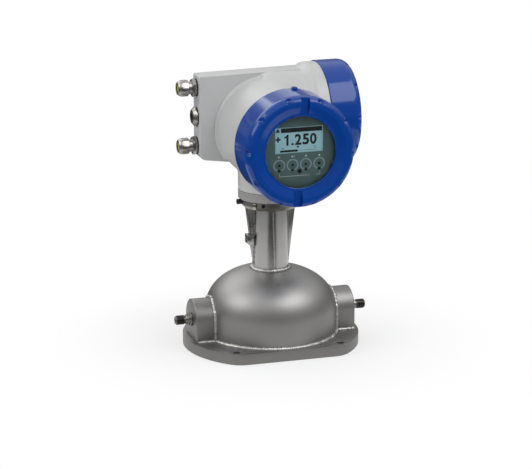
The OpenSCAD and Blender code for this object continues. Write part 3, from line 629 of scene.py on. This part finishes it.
def cap(radius, height, start, end, steps):
    """Points of the domed cap's outline, a little fuller than an ellipse; angles in degrees."""
    angles = [math.radians(start + (end - start) * i / steps) for i in range(steps + 1)]
    return [(radius * math.cos(a) ** (2 / FULLNESS), SKIRT + height * math.sin(a) ** (2 / FULLNESS))
            for a in angles]


BLOCK_R = size_mm("outlet_block").y / 2
BLOCK_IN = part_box("outlet_block")[0].x / MM
BLOCK_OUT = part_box("outlet_block")[1].x / MM
mouth = math.degrees(math.acos(((NECK_R + 0.1) / DOME_R) ** (FULLNESS / 2)))
mouth_in = math.degrees(math.acos(((NECK_R + 0.1) / (DOME_R - WALL)) ** (FULLNESS / 2)))
outer = cap(DOME_R, CAP_H, 0, mouth, 72)
inner = cap(DOME_R - WALL, CAP_H - WALL, mouth_in, 0, 60)
shell = turned([(DOME_R - WALL, PLATE_TOP), (DOME_R, PLATE_TOP)] + outer + inner, steps=224, closed=True)


def block_outline(grow):
    """Section of an end block: straight sides and a round top over the pipe axis."""
    r = BLOCK_R + grow
    return [(-r, PLATE_TOP - grow)] + [(x, z) for x, z in reversed(arc(0, PIPE_Z, r, r, 0, 180, 64))] + [
        (r, PLATE_TOP - grow)]


ALONG_X = Matrix(((0, 0, 1, 0), (1, 0, 0, 0), (0, 1, 0, 0), (0, 0, 0, 1)))
for side in (-1, 1):
    low, high = sorted((side * (BLOCK_IN - 5), side * BLOCK_OUT))
    shell = combine(shell, placed(prism(block_outline(0.1), low, high), ALONG_X))
piece("dome", shell, "sensor", blasted_stainless, ["dome_shell"], crease=30)

# %% [markdown]
# ## End blocks and fittings
# Each end block is a short bar with an arched top, welded to the plate and the dome,
# and bored for the pipe. The fitting was turned in one piece: a shank, stepped collars
# and a threaded nipple, whose thread is wound as a real ridge and painted dark.

# %% End blocks
for side, node in ((-1, "inlet_block"), (1, "outlet_block")):
    low, high = sorted((side * BLOCK_IN, side * BLOCK_OUT))
    bm = placed(prism(block_outline(0), low, high), ALONG_X)
    rim = side * BLOCK_OUT * MM
    soften(bm, 1.3, 50, 3, within=lambda e: all(abs(v.co.x - rim) < 1e-5 for v in e.verts)
           and not all(v.co.z < (PLATE_TOP + 0.1) * MM for v in e.verts))
    bm = combine(bm, placed(cylinder(6.1, BLOCK_IN - 1, BLOCK_OUT + 1, 48),
                            seat(0, 0, PIPE_Z, FACING_RIGHT if side > 0 else FACING_LEFT)))
    piece(node + "_body", bm, "sensor", blasted_plate, [node])

# %% Fittings
SHANK_R, BORE_R, TUBE_SEAT_R = 6, 2.1, 3.05
STEP = 2.5
TIP_R, ROOT_R, TIP_START, TIP_END = 5.9, 5.1, 8.5, 20.5
shank_end = BLOCK_IN - 2 - BLOCK_OUT
collars = [(TUBE_SEAT_R, shank_end), (SHANK_R - 0.4, shank_end), (SHANK_R, shank_end + 0.4), (SHANK_R, 0.05),
           (8.1, 0.05), (8.5, 0.45), (8.5, STEP - 0.4), (8.1, STEP), (7.3, STEP + 0.3), (7.3, 2 * STEP - 0.4),
           (6.9, 2 * STEP), (6.3, 2 * STEP + 0.3), (6.3, 3 * STEP - 0.4), (5.9, 3 * STEP), (5.0, 3 * STEP),
           (5.0, TIP_START), (BORE_R, TIP_START), (BORE_R, shank_end + 12), (TUBE_SEAT_R, shank_end + 12)]
nipple = [(BORE_R, TIP_START), (ROOT_R, TIP_START), (ROOT_R, TIP_END - 0.8), (ROOT_R - 0.5, TIP_END),
          (BORE_R + 0.6, TIP_END), (BORE_R, TIP_END - 0.6)]
for side, node in ((-1, "inlet_fitting"), (1, "outlet_fitting")):
    out = seat(side * BLOCK_OUT, 0, PIPE_Z, FACING_RIGHT if side > 0 else FACING_LEFT)
    piece(node + "_collars", placed(turned(collars, 96, closed=True), out), "sensor", turned_stainless,
          [node], crease=25)
    threaded = joined(turned(nipple, 96, closed=True), helix(ROOT_R, TIP_R, 1.25, TIP_START + 0.6, TIP_END - 0.5))
    piece(node + "_thread", placed(threaded, out), "sensor", dark_thread, crease=25)

# %% [markdown]
# ## Welds
# The sensor is welded by hand, so the beads are left as they cooled: overlapping
# puddles that show as small crescents. They run round the dome's foot, up and over
# each end block, and round the foot of the neck. A torus would be quicker, but its
# highlight would be one clean line where the real bead breaks it into dots.

# %% Weld beads
def dome_radius(z):
    """Outer radius of the dome at a height in millimetres."""
    if z <= SKIRT:
        return DOME_R
    return DOME_R * max(0.0, 1 - ((z - SKIRT) / CAP_H) ** FULLNESS) ** (1 / FULLNESS)


def from_axis(p):
    """The way out of a weld that runs round the neck's axis."""
    return (p.x, p.y, 0.8 * math.hypot(p.x, p.y))


edge = math.degrees(math.asin((BLOCK_R + 1.5) / DOME_R))
foot_front = [(DOME_R * math.cos(math.radians(a)), DOME_R * math.sin(math.radians(a)), PLATE_TOP + 0.3)
              for a in [edge - 180 + (180 - 2 * edge) * i / 480 for i in range(481)]]
beads = [bead(foot_front, from_axis, 3.1, ripple=2.6, seed=3)]
beads.append(bead([(x, -y, z) for x, y, z in foot_front], from_axis, 3.1, ripple=2.6, seed=4))
for side in (-1, 1):
    seam = [(y, z) for y, z in block_outline(0)]
    seam = [p for a, b in zip(seam, seam[1:]) for p in line((*a, 0), (*b, 0), 0.5)[:-1]]
    path = [(side * math.sqrt(max(0, dome_radius(z) ** 2 - y ** 2)), y, z) for y, z, _ in seam]
    beads.append(bead(path, lambda p: (side * 30, p.y, max(0, p.z - PIPE_Z)), 2.8, ripple=2.4, seed=7 + side))
    for y in (-BLOCK_R, BLOCK_R):
        start = side * (math.sqrt(DOME_R ** 2 - y ** 2) + 1.5)
        run = line((start, y, PLATE_TOP + 0.2), (side * (BLOCK_OUT - 1.5), y, PLATE_TOP + 0.2))
        beads.append(bead(run, lambda p: (0, p.y, BLOCK_R), 2.7, ripple=2.6, seed=11 + side))
NECK_SEAT = SKIRT + CAP_H * (1 - (NECK_R / DOME_R) ** FULLNESS) ** (1 / FULLNESS)
RING_R = NECK_R + 0.6
neck_ring = [(RING_R * math.cos(math.tau * i / 400), RING_R * math.sin(math.tau * i / 400), NECK_SEAT)
             for i in range(400)]
beads.append(bead(neck_ring, from_axis, 3.0, closed=True, ripple=2.6, seed=21))
piece("weld_seams", joined(*beads), "sensor", weld_metal, ["weld_beads"], crease=60)

# %% [markdown]
# ## Neck
# A stainless tube with two tapered webs welded along its sides, then brushed up and
# down. The tube is rolled from sheet, so a closing seam runs up its front. Both kinds
# of weld are dressed nearly flush and show as bright lines.

# %% Neck
WEB_TOP, WEB_FOOT, WEB_T = size_mm("neck_column").x / 2, NECK_FOOT + 9, size_mm("earth_lug").y / 2 + 0.5
tube = turned([(19, NECK_FOOT), (NECK_R, NECK_FOOT), (NECK_R, COLLAR_LOW), (19, COLLAR_LOW)], 160, closed=True)
webs = []
for side in (-1, 1):
    web = prism([(side * (NECK_R - 1.5), WEB_FOOT), (side * (NECK_R + 0.2), WEB_FOOT), (side * WEB_TOP, COLLAR_LOW),
                 (side * (NECK_R - 1.5), COLLAR_LOW)], -WEB_T / 2, WEB_T / 2)
    web = soften(placed(web, Matrix.Rotation(math.radians(90), 4, "X")), 0.7, 50, 2)
    root = seat(side * (NECK_R - 1), 0, 0)
    pull = Matrix.Rotation(math.radians(7 if side > 0 else 0), 4, "Z")
    webs.append(placed(web, root @ pull @ root.inverted()))
piece("neck_tube_and_webs", joined(tube, *webs), "sensor", brushed_stainless, ["neck_column"])

roots = []
for side in (-1, 1):
    for face in (-1, 1):
        at_x, at_y = side * math.sqrt(NECK_R ** 2 - (WEB_T / 2) ** 2), face * WEB_T / 2
        roots.append(bead(line((at_x, at_y, WEB_FOOT + 1), (at_x, at_y, COLLAR_LOW)),
                          lambda p: (0.4 * side, face, 0), 0.75, ripple=1.3, seed=31 + side + face, sides=8))
seam = [(NECK_R * math.cos(a), NECK_R * math.sin(a), z) for a, z in
        ((math.radians(-93 - 5.5 * i / 160), NECK_SEAT + 2 + (COLLAR_LOW - NECK_SEAT - 2) * i / 160)
         for i in range(161))]
roots.append(bead([(x * 0.982, y * 0.982, z) for x, y, z in seam], lambda p: (p.x, p.y, 0), 0.75, ripple=1.3,
                  seed=41, sides=8))
piece("neck_seams", joined(*roots), "sensor", bright_screw, crease=60)

# %% [markdown]
# ## Swivel collar and adapter
# The collar is welded on the neck and holds the converter's spigot with three set
# screws, three more sit below the surface, and a small stop limits the turn. It was
# turned from bar with a wide bevel underneath.

# %% Collar, screws and adapter ring
COLLAR_R, BEVEL, SPIGOT_R, POCKET = size_mm("neck_collar").x / 2, 5, 30.06, COLLAR_LOW + 4
SCREW_Z = COLLAR_HIGH - 3.4
profile = [(19, COLLAR_LOW), (COLLAR_R - BEVEL, COLLAR_LOW), (COLLAR_R, COLLAR_LOW + BEVEL),
           (COLLAR_R, COLLAR_HIGH - 0.6), (COLLAR_R - 0.6, COLLAR_HIGH), (SPIGOT_R, COLLAR_HIGH),
           (SPIGOT_R, POCKET), (19, POCKET)]
bm = turned(profile, 160, closed=True)
for angle in range(0, 360, 60):
    tool = placed(cylinder(2.55, SPIGOT_R - 2, COLLAR_R + 2, 32),
                  Matrix.Rotation(math.radians(angle), 4, "Z") @ seat(0, 0, SCREW_Z, FACING_RIGHT))
    bm = combine(bm, tool)
piece("collar", bm, "sensor", turned_stainless, ["neck_collar"], crease=30)
dressed_piece("set_screws", "clamp_screws", 0.3, "sensor", blackened_steel)
dressed_piece("sunk_screws", "recessed_screws", 0.15, "sensor", blackened_steel)
dressed_piece("stop", "swivel_stop", 0.3, "sensor", bright_screw)
dressed_piece("earth_clamp", "earth_lug", 0.4, "sensor", brushed_stainless)
dressed_piece("adapter", "adapter_ring", 0.5, "converter", ring_coat, angle=50)

# %% [markdown]
# ## Converter housing
# This is one die casting: an upright stem, two crossing cylinders and a flat block for
# the cable entries. On a casting every inner corner has a fillet where metal flows
# round it. Bevelled booleans fail on such crossing curves, so closed forms are remeshed
# as one skin and relaxed, which rounds each inner corner. The machined faces come
# after, cut flat and crisp through that skin.

# %% Housing blank
STEM_R, DISPLAY_R, BARREL_R, LIP_R = 39.6, 62, 57.6, 63.5
DRUM_BACK, DRUM_ROUND = -22, 10
BLOCK_FRONT, BLOCK_BACK = ENTRY_Y - 13.5, ENTRY_Y + 13.5
BLOCK_TOP, BLOCK_BOTTOM = ENTRY_Z + 51.5, ENTRY_Z - 53
SHOULDER = -SHOULDER_Y


def drum(radius, low, high):
    """A cylinder about Z with a rounded closed end at low and a plain one at high."""
    rounded = arc(radius - DRUM_ROUND, low + DRUM_ROUND, DRUM_ROUND, DRUM_ROUND, -90, 0, 16)
    return turned([(0, low)] + rounded + [(radius, high), (0, high)], 160)


def block_blank(grow, rim):
    """The entry block, wrapped round four rounded corners with a small round on each rim."""
    bm = bmesh.new()
    half = (BLOCK_BACK - BLOCK_FRONT) / 2 + grow
    for x, z, r in ((ENTRY_X + 2.5, BLOCK_TOP - 2.5, 2.5), (ENTRY_X + 9, BLOCK_BOTTOM + 9, 9),
                    (-9, BLOCK_BOTTOM, 9), (49, BLOCK_TOP - 2, 4)):
        for step in range(0, 91, 18):
            cut, y = rim * (1 - math.cos(math.radians(step))) - grow, half - rim * (1 - math.sin(math.radians(step)))
            for i in range(48):
                turn = math.tau * i / 48
                out = Vector((math.cos(turn), 0, math.sin(turn))) * (r - cut)
                bm.verts.new((Vector((x, ENTRY_Y + y, z)) + out) * MM)
                bm.verts.new((Vector((x, ENTRY_Y - y, z)) + out) * MM)
    bmesh.ops.convex_hull(bm, input=bm.verts)
    return bm


stem = placed(cylinder(STEM_R, 0, DISPLAY_Z - SEAT_Z - 20, 128), seat(0, 0, SEAT_Z))
barrel = drum(BARREL_R, -8, SHOULDER_X + 3)
lip = turned([(0, SHOULDER_X - 24), (BARREL_R - 1, SHOULDER_X - 24), (LIP_R, SHOULDER_X - 15), (LIP_R, SHOULDER_X + 3),
              (0, SHOULDER_X + 3)], 160)
blank = to_object(joined(stem, placed(drum(DISPLAY_R, DRUM_BACK, SHOULDER + 3), DISPLAY),
                         placed(joined(barrel, lip), TERMINAL), block_blank(-0.4, 2)))
skin = blank.modifiers.new("one_skin", "REMESH")
skin.mode, skin.voxel_size = "VOXEL", 1.7 * MM
relax = blank.modifiers.new("relax", "SMOOTH")
relax.factor, relax.iterations = 0.5, 8
casting = with_modifiers(blank)
print("casting skin:", len(casting.faces), "faces")

# %% [markdown]
# The machined faces: both shoulders, the seat on the adapter, and the two compartments.
# The parting line of the die leaves a small pip on the block's face, left as cast.

# %% Machined faces of the housing
DISPLAY_BORE, TERMINAL_BORE = 54, 52
ends = joined(block((-80, SHOULDER_Y - 9, 190), (80, SHOULDER_Y, 350)),
              block((SHOULDER_X, -50, 200), (SHOULDER_X + 9, 110, 350)),
              block((-60, -60, SEAT_Z - 9), (60, 60, SEAT_Z)))
casting = combine(casting, ends)
bores = joined(placed(cylinder(DISPLAY_BORE, 28, SHOULDER + 5, 128), DISPLAY),
               placed(cylinder(TERMINAL_BORE, 2, SHOULDER_X + 5, 128), TERMINAL))
casting = combine(casting, bores)
entry_block = block_blank(0, 1.1)
flare_outline = ((-6, -2), (2.6, -2), (2.6, 1.2), (2.3, 1.8), (1.7, 2.3), (-0.2, 5), (-2, 6))
flare = turned([(DISPLAY_R + r, -BLOCK_FRONT + z) for r, z in flare_outline], 200, closed=True)
flare = combine(placed(flare, DISPLAY), block((-99, 0, 100), (0, 40, BLOCK_BOTTOM + 0.5)))
pip = bmesh.new()
bmesh.ops.create_uvsphere(pip, u_segments=24, v_segments=12, radius=2.2 * MM)
bmesh.ops.scale(pip, vec=(1, 0.5, 1), verts=pip.verts)
casting = joined(casting, placed(pip, seat(-67, BLOCK_FRONT + 0.2, 272)), flare, entry_block)
piece("housing", casting, "converter", grey_coat, ["converter_housing"], crease=40)

THREAD_PITCH = 2
for name, place, radius, bore, shoulder in (("display_thread", DISPLAY, 60.5, DISPLAY_BORE, SHOULDER),
                                            ("terminal_thread", TERMINAL, 58, TERMINAL_BORE, SHOULDER_X)):
    root = turned([(bore, shoulder - 1), (radius - 1, shoulder - 1), (radius - 1, shoulder + 14),
                   (radius - 1.8, shoulder + 15), (bore, shoulder + 15)], 160, closed=True)
    ridge = helix(radius - 1, radius, THREAD_PITCH, shoulder + 1.5, shoulder + 14, steps=96)
    piece(name, placed(joined(root, ridge), place), "converter", grey_coat, crease=25)

# %% [markdown]
# ## Covers
# Both covers are cast and turned, with ten finger dimples on the shoulder and two deep
# slots for a bar. The dimples were pressed into a dense skin by moving its points, so
# that the rim of each stays soft under the paint. The slots are milled, so they are
# cut with a boolean and keep their sharp corners.

# %% Cover helpers
CLOCKING = 4.5
SHOULDER_RISE, CREST_IN = 11, 7.3
SKIN_STEP, SKIN_TURNS = 0.7, 640
DIMPLE_R, DIMPLE_DEPTH, DIMPLE_TILT = 6.2, 5.6, math.radians(38)
BORE_TOP, MOUTH_TOP, MOUTH_EASE = 16.2, 3, 2.7


def cover_outside(r, length, dish_r, depth):
    """Outline of a cover from its rear rim over the shoulder and the crest into the dish."""
    outline = [(r - 0.8, 0.3), (r - 0.2, 0.5), (r, 1.1), (r, length - SHOULDER_RISE)]
    outline += arc(r - CREST_IN, length - SHOULDER_RISE, CREST_IN, SHOULDER_RISE, 0, 90, 40)[1:]
    outline += [(r - 11.6, length), (r - 12.3, length - 0.2)]
    return outline + [(dish_r + 0.6, length - depth + 0.2), (dish_r, length - depth)]


def skirt_inside(inner_r, bore_r):
    """Inside of a cover's skirt: the bore over the thread and the wider mouth over the O-ring."""
    return [(inner_r, BORE_TOP), (bore_r, BORE_TOP), (bore_r, MOUTH_TOP), (bore_r + MOUTH_EASE, MOUTH_TOP),
            (bore_r + MOUTH_EASE, 0.3)]


def dented(bm, r, length, start):
    """Presses the ten finger dimples into a cover's shoulder."""
    for i in range(10):
        turn = math.radians(start + 36 * (i + 0.5))
        out = Vector((math.cos(turn), math.sin(turn), 0))
        way = out * math.sin(DIMPLE_TILT) + Vector((0, 0, math.cos(DIMPLE_TILT)))
        centre = (out * (r - 4.2) + Vector((0, 0, length - 5.6))) * MM
        for v in bm.verts:
            off = v.co - centre
            if abs(off.x) + abs(off.y) + abs(off.z) > 15 * MM:
                continue
            height = off.dot(way)
            across = (off - way * height).length / MM
            floor_here = DIMPLE_DEPTH * (across / DIMPLE_R) ** 2 * MM
            if across < DIMPLE_R * 1.2 and height > floor_here:
                v.co -= way * (height - floor_here)
    return bm


def slotted(bm, r, length, start):
    """Mills the two bar slots through a cover's crest."""
    tools = [placed(block((r - 20.8, -5.5, length - 4.5), (r + 5, 5.5, length + 4)),
                    Matrix.Rotation(math.radians(turn), 4, "Z")) for turn in (start, start + 180)]
    return combine(bm, joined(*tools), solver="MANIFOLD")


# %% Display cover
COVER_R, COVER_LEN, WINDOW_R = size_mm("front_cover").x / 2, 53, 43.5
DISH_R, DISH = 46.5, 4
GLASS_SEAT, GLASS_R, RING_SEAT = 46.5, 50.1, 41.7
inside = [(WINDOW_R + 0.4, COVER_LEN - DISH), (WINDOW_R, COVER_LEN - DISH - 0.4), (WINDOW_R, GLASS_SEAT),
          (GLASS_R, GLASS_SEAT), (GLASS_R, RING_SEAT), (53, RING_SEAT), (53, 36.2), (54.5, 36.2)]
inside += skirt_inside(54.5, 60.56)
whole = cover_outside(COVER_R, COVER_LEN, DISH_R, DISH)
outside = finely(whole[:-2], SKIN_STEP) + whole[-2:]
bm = dented(turned(outside + inside, SKIN_TURNS, closed=True), COVER_R, COVER_LEN, 90 - CLOCKING)
bm = slotted(bm, COVER_R, COVER_LEN, 90 - CLOCKING)
boss = turned([(2.05, COVER_R - 2), (3.8, COVER_R - 2)] + arc(2.6, COVER_R + 1.4, 1.2, 1.3, 0, 90, 10)
              + [(2.05, COVER_R + 2.6)], 48, closed=True)
boss = placed(boss, Matrix.Rotation(math.radians(90 - CLOCKING), 4, "Z") @ seat(0, 0, 7, FACING_RIGHT))
piece("display_cover", placed(joined(bm, boss), DISPLAY_SHOULDER), "display_cover", blue_coat,
      ["front_cover"], crease=32)

# %% Terminal cover
TERMINAL_R, TERMINAL_LEN = size_mm("terminal_cover").z / 2, 40
inside = [(53, TERMINAL_LEN - 9)] + skirt_inside(53, 58.06)
whole = cover_outside(TERMINAL_R, TERMINAL_LEN, 44, 3)
outside = finely(whole[:-2], SKIN_STEP) + whole[-2:] + [(0, TERMINAL_LEN - 3)]
bm = turned([(0, TERMINAL_LEN - 9)] + inside + outside, SKIN_TURNS)
bm = dented(bm, TERMINAL_R, TERMINAL_LEN, 180 - CLOCKING)
bm = slotted(bm, TERMINAL_R, TERMINAL_LEN, 180 - CLOCKING)
piece("compartment_cover", placed(bm, TERMINAL_SHOULDER), "compartment_cover", blue_coat,
      ["terminal_cover"], crease=32)

# %% [markdown]
# ## Window and seals
# The glass is a turned disc that a screwed ring presses on a flat gasket. The O-rings
# travel along the thread with their cover.

# %% Window and seals
glass_low, glass_high = (-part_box("window_glass")[i].y / MM for i in (1, 0))
glass_r = size_mm("window_glass").x / 2
disc = turned([(0, glass_low), (glass_r - 0.4, glass_low), (glass_r, glass_low + 0.4), (glass_r, glass_high - 0.4),
               (glass_r - 0.4, glass_high), (0, glass_high)], 160)
piece("glass", placed(disc, DISPLAY), "display_cover", toughened_glass, ["window_glass"])
dressed_piece("glass_gasket", "window_gasket", 0.15, "display_cover", black_rubber)
dressed_piece("retaining_ring", "window_ring", 0.25, "display_cover", black_plastic)
dressed_piece("lock_screw", "cover_lock_screw", 0.15, "display_cover", dark_thread)
for name, node, body, place, ring_r, shoulder in (
        ("display_o_ring", "front_seal", "display_seal", DISPLAY, 61.9, SHOULDER),
        ("terminal_o_ring", "terminal_seal", "compartment_seal", TERMINAL, 59.4, SHOULDER_X)):
    section = arc(ring_r, shoulder + 1.6, 1.1, 1.1, 0, 345, 23)
    piece(name, placed(turned(section, 160, closed=True), place), body, black_rubber, [node])

# %% [markdown]
# ## Display
# A printed film covers the electronics and leaves a window for the panel. Its keys are
# optical: each is a printed ring, open at the bottom, with a dark sensor window inside.
# Real prints are ink on the film's back, so the marks are flat prisms a few hundredths
# thick. The panel shows a plain number of our own, and no words are printed.

# %% Film and panel
FACE = -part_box("display_face")[0].y / MM
PANEL = -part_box("lcd_panel")[0].y / MM
dressed_piece("film", "display_face", 0.12, "converter", printed_film, angle=50)
dressed_piece("panel", "lcd_panel", 0.2, "converter", panel_glass, angle=50)


def ink(outline, on, thick=0.05):
    """A flat printed mark on the display, with its outline in millimetres from the axis."""
    return prism(outline, on, on + thick)


def bar(u0, v0, u1, v1):
    """Outline of an upright rectangle between two corners."""
    return [(u0, v0), (u1, v0), (u1, v1), (u0, v1)]


def dot(u, v, radius, sides=40):
    """Outline of a filled circle."""
    return [(u + radius * math.cos(math.tau * i / sides), v + radius * math.sin(math.tau * i / sides))
            for i in range(sides)]


def open_ring(u, v, radius, width, gap_degrees):
    """A ring that is open at the bottom."""
    start, end = -90 + gap_degrees, 270 - gap_degrees
    return arc(u, v, radius, radius, start, end, 60) + arc(u, v, radius - width, radius - width, end, start, 60)


def figures(text, height, u, width, v, on):
    """Plain figures as a thin mesh of one height and width, from left edge u and baseline v."""
    curve = bpy.data.curves.new("figures", "FONT")
    curve.body, curve.size, curve.extrude, curve.offset = text, 1.0, 0.002, 0.034
    holder = bpy.data.objects.new("figures", curve)
    scene.collection.objects.link(holder)
    shown = holder.evaluated_get(bpy.context.evaluated_depsgraph_get())
    bm = bmesh.new()
    bm.from_mesh(shown.to_mesh())
    shown.to_mesh_clear()
    bpy.data.objects.remove(holder)
    bpy.data.curves.remove(curve)
    xs, ys = [v.co.x for v in bm.verts], [v.co.y for v in bm.verts]
    stretch = Vector((width / (max(xs) - min(xs)), height / (max(ys) - min(ys)), 12)) * MM
    bmesh.ops.translate(bm, vec=(-min(xs), -min(ys), 0), verts=bm.verts)
    bmesh.ops.scale(bm, vec=stretch, verts=bm.verts)
    bmesh.ops.translate(bm, vec=(u * MM, v * MM, (on + 0.025) * MM), verts=bm.verts)
    return bm


# %% Marks on the panel and the film
BASE, DIGIT = 7.6, 13.2
panel_bars = ((-22.2, 23.2, 28.5, 28.6), (-28.9, 14.4, -22.7, 16.4), (-26.8, 12.3, -24.8, 18.5),
              (-23.2, -0.3, -1.7, 2.2), (-1.7, 0.9, 20.7, 1.2), (20.4, 1.0, 20.7, 5.0),
              (-21.6, 4.2, -18.6, 4.8), (17.4, 4.7, 20.2, 5.3))
one = [(-15.6, 0), (-12.9, 0), (-12.9, DIGIT), (-14.7, DIGIT), (-16.0, 11.5), (-18.1, 10.6), (-18.1, 8.6),
       (-15.6, 9.4)]
segments = [ink(bar(*corners), PANEL) for corners in panel_bars]
panel_wedges = ([(-28.9, 24.0), (-23.3, 24.0), (-26.1, 28.8)], [(-3.2, 6.6), (0.6, 6.6), (-1.3, 3.8)])
segments += [ink(wedge, PANEL) for wedge in panel_wedges]
segments += [ink([(u, BASE + v) for u, v in one], PANEL), ink(dot(-7.9, BASE + 1.4, 1.5), PANEL)]
segments += [figures(figure, DIGIT, u, 8.1, BASE, PANEL) for figure, u in (("2", -5.1), ("5", 4.4), ("0", 13.6))]
piece("panel_segments", placed(joined(*segments), DISPLAY), "converter", panel_ink, crease=30)

KEYS, KEY_V, SIGN_V = (-24.7, -8.2, 8.2, 24.7), -15.8, -5.6
rings = [ink(open_ring(u, KEY_V, 7.3, 1.5, 25), FACE) for u in KEYS]
piece("key_rings", placed(joined(*rings), DISPLAY), "converter", pale_print, crease=30)
LINK, RISE = -29.5, 4.4
arrow_heads = (((-26.0, -1.7), (-23.4, 0), (-26.0, 1.7)), ((-10.4, 0), (-8.2, -1.5), (-8.2, 1.5)),
               ((8.4, -1.7), (10.2, 0.2), (6.6, 0.2)), ((24.8, 1.1), (23.0, -0.8), (26.6, -0.8)))
arrow_tails = ((-8.2, -0.4, -5.8, 0.4), (-6.4, 0.4, -5.8, 1.8), (7.7, 0.2, 9.1, 1.3), (24.1, -1.9, 25.5, -0.8))
link_bars = ((-24.4, LINK, -23.8, LINK + RISE), (-23.8, LINK, 12.5, LINK + 0.6), (21.0, LINK, 25.8, LINK + 0.6),
             (25.2, LINK + 0.6, 25.8, LINK + RISE))
signs = [ink([(u, SIGN_V + v) for u, v in head], FACE) for head in arrow_heads]
signs += [ink(bar(u0, SIGN_V + v0, u1, SIGN_V + v1), FACE) for u0, v0, u1, v1 in arrow_tails]
signs += [ink(bar(*corners), FACE) for corners in link_bars]
piece("key_signs", placed(joined(*signs), DISPLAY), "converter", white_print, crease=30)
eyes = [ink(dot(u, KEY_V, 1.6), FACE) for u in KEYS] + [ink(dot(u, KEY_V - 6.3, 1.7), FACE) for u in KEYS]
eyes.append(ink(dot(0.4, -23.9, 2.6), FACE))
piece("sensor_eyes", placed(joined(*eyes), DISPLAY), "converter", dark_sensor, crease=30)

# %% [markdown]
# ## Cable entries
# The glands and the plug are turned from hexagon bar in brass and nickel plated. A
# turned chamfer cuts each hexagon's corners, and that arc on every flat is what makes a
# nut look like one. So each hexagon is a prism crossed with a turned form.

# %% Glands and plug


def nut(across, low, high, ease=1.1):
    """A hexagon whose corners are turned off at both ends."""
    corner = across / 2 / math.cos(math.pi / 6)
    hexagon = placed(cylinder(corner, low, high, sides=6), Matrix.Rotation(math.radians(30), 4, "Z"))
    inner = across / 2 - 0.1
    envelope = turned([(0, low - 0.01), (inner, low - 0.01), (corner + 0.1, low + ease), (corner + 0.1, high - ease),
                       (inner, high + 0.01), (0, high + 0.01)], 96)
    return soften(combine(hexagon, envelope, "INTERSECT"), 0.15, 20, 2)


def washer(radius, thick, ease_in, ease_up):
    """A flat gasket round an entry's thread, with its outer edges eased."""
    return turned([(8.1, 0), (radius - ease_in, 0), (radius, ease_up), (radius, thick - ease_up),
                   (radius - ease_in, thick), (8.1, thick)], 96, closed=True)


def bored(bm, radius, low, high):
    """Drills a round hole down the Z axis."""
    return combine(bm, cylinder(radius, low, high, 48))


GLAND_AF, CAP_AF, CAP_START, CAP_END = 20, 19.2, 11, 24
cap_form = ((0, 0), (9.5, 0), (10.2, 0.7), (10.2, 7), (9.7, 9.4), (8.9, 11.3), (8.0, 12.5), (7.3, 13), (0, 13))
for way, z in (("upper", UPPER_Z), ("lower", LOWER_Z)):
    place = seat(ENTRY_X, ENTRY_Y, z, FACING_LEFT)
    body = bored(nut(GLAND_AF, 1.2, 6.2), 7, 0, 8)
    barrel = turned([(5.2, -5.5), (7.9, -5.5), (7.9, 0), (7.7, 0), (7.7, 10.4), (7.4, 10.7), (7.4, 17.4),
                     (7.0, 17.7), (5.2, 17.7)], 96, closed=True)
    ridge = helix(7.3, 7.75, 1.5, 6.6, 10.6, steps=48)
    piece(way + "_gland", placed(joined(body, barrel, ridge), place), "converter", nickel_brass,
          [way + "_gland_body"], crease=25)
    cap = combine(cylinder(CAP_AF / 2 / math.cos(math.pi / 6), CAP_START, CAP_END, sides=6),
                  turned([(r, CAP_START + z) for r, z in cap_form], 96), "INTERSECT")
    cap = soften(cap, 0.25, 20, 2)
    cap = bored(bored(cap, 7.47, CAP_START - 1, CAP_END - 2), 6.2, CAP_END - 3, CAP_END + 1)
    piece(way + "_cap_nut", placed(cap, place), way + "_cap", nickel_brass, [way + "_gland_cap"], crease=25)
    seal = turned([(4, 18.3), (7, 18.3), (7, 21.6), (6.7, 21.9), (4.4, 21.9), (4, 21.5)], 96, closed=True)
    piece(way + "_insert", placed(seal, place), way + "_seal", lime_rubber, [way + "_gland_seal"])
gaskets = [placed(washer(11, 1.2, 0.2, 0.3), seat(ENTRY_X, ENTRY_Y, z, FACING_LEFT)) for z in (UPPER_Z, LOWER_Z)]
piece("entry_gaskets", joined(*gaskets), "converter", black_rubber, ["gland_gaskets"])

plug_place = seat(ENTRY_X, ENTRY_Y, ENTRY_Z, FACING_LEFT)
plug = turned([(0, -5.5), (7.9, -5.5), (7.9, 1), (11.3, 1), (11.7, 1.4), (11.7, 2.9), (11.4, 3.3), (8.9, 5.6),
               (8.3, 6.1), (7.6, 6.3), (0, 6.3)], 96)
socket = cylinder(4.5 / math.cos(math.pi / 6), 0.5, 12, sides=6)
piece("plug", placed(combine(plug, socket), plug_place), "converter", nickel_brass, ["blanking_plug"],
      crease=25)
piece("plug_washer", placed(washer(12, 1, 0.2, 0.2), plug_place), "converter", black_rubber,
      ["plug_gasket"])

# %% [markdown]
# ## Finish the frame
# What isn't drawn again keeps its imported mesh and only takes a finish.

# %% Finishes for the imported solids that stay
STAY = {
    turned_stainless: ["measuring_tube", "tube_frame", "coil_bridge", "temperature_sensor", "feedthrough",
                       "terminal_screws"],
    copper_winding: ["drive_coil", "pickup_coils"],
    blackened_steel: ["drive_magnet", "pickup_magnets"],
    board_lacquer: ["display_board", "terminal_carrier"],
    terminal_plastic: ["terminal_block"],
    black_plastic: ["electronics_module", "display_unit"],
}
for finish, names in STAY.items():
    for name in names:
        nodes[name].data.materials.clear()
        nodes[name].data.materials.append(finish)

# Solids that a piece stands for are hidden, and still get a finish.
for obj in nodes.values():
    if not obj.data.materials:
        obj.data.materials.append(turned_stainless)
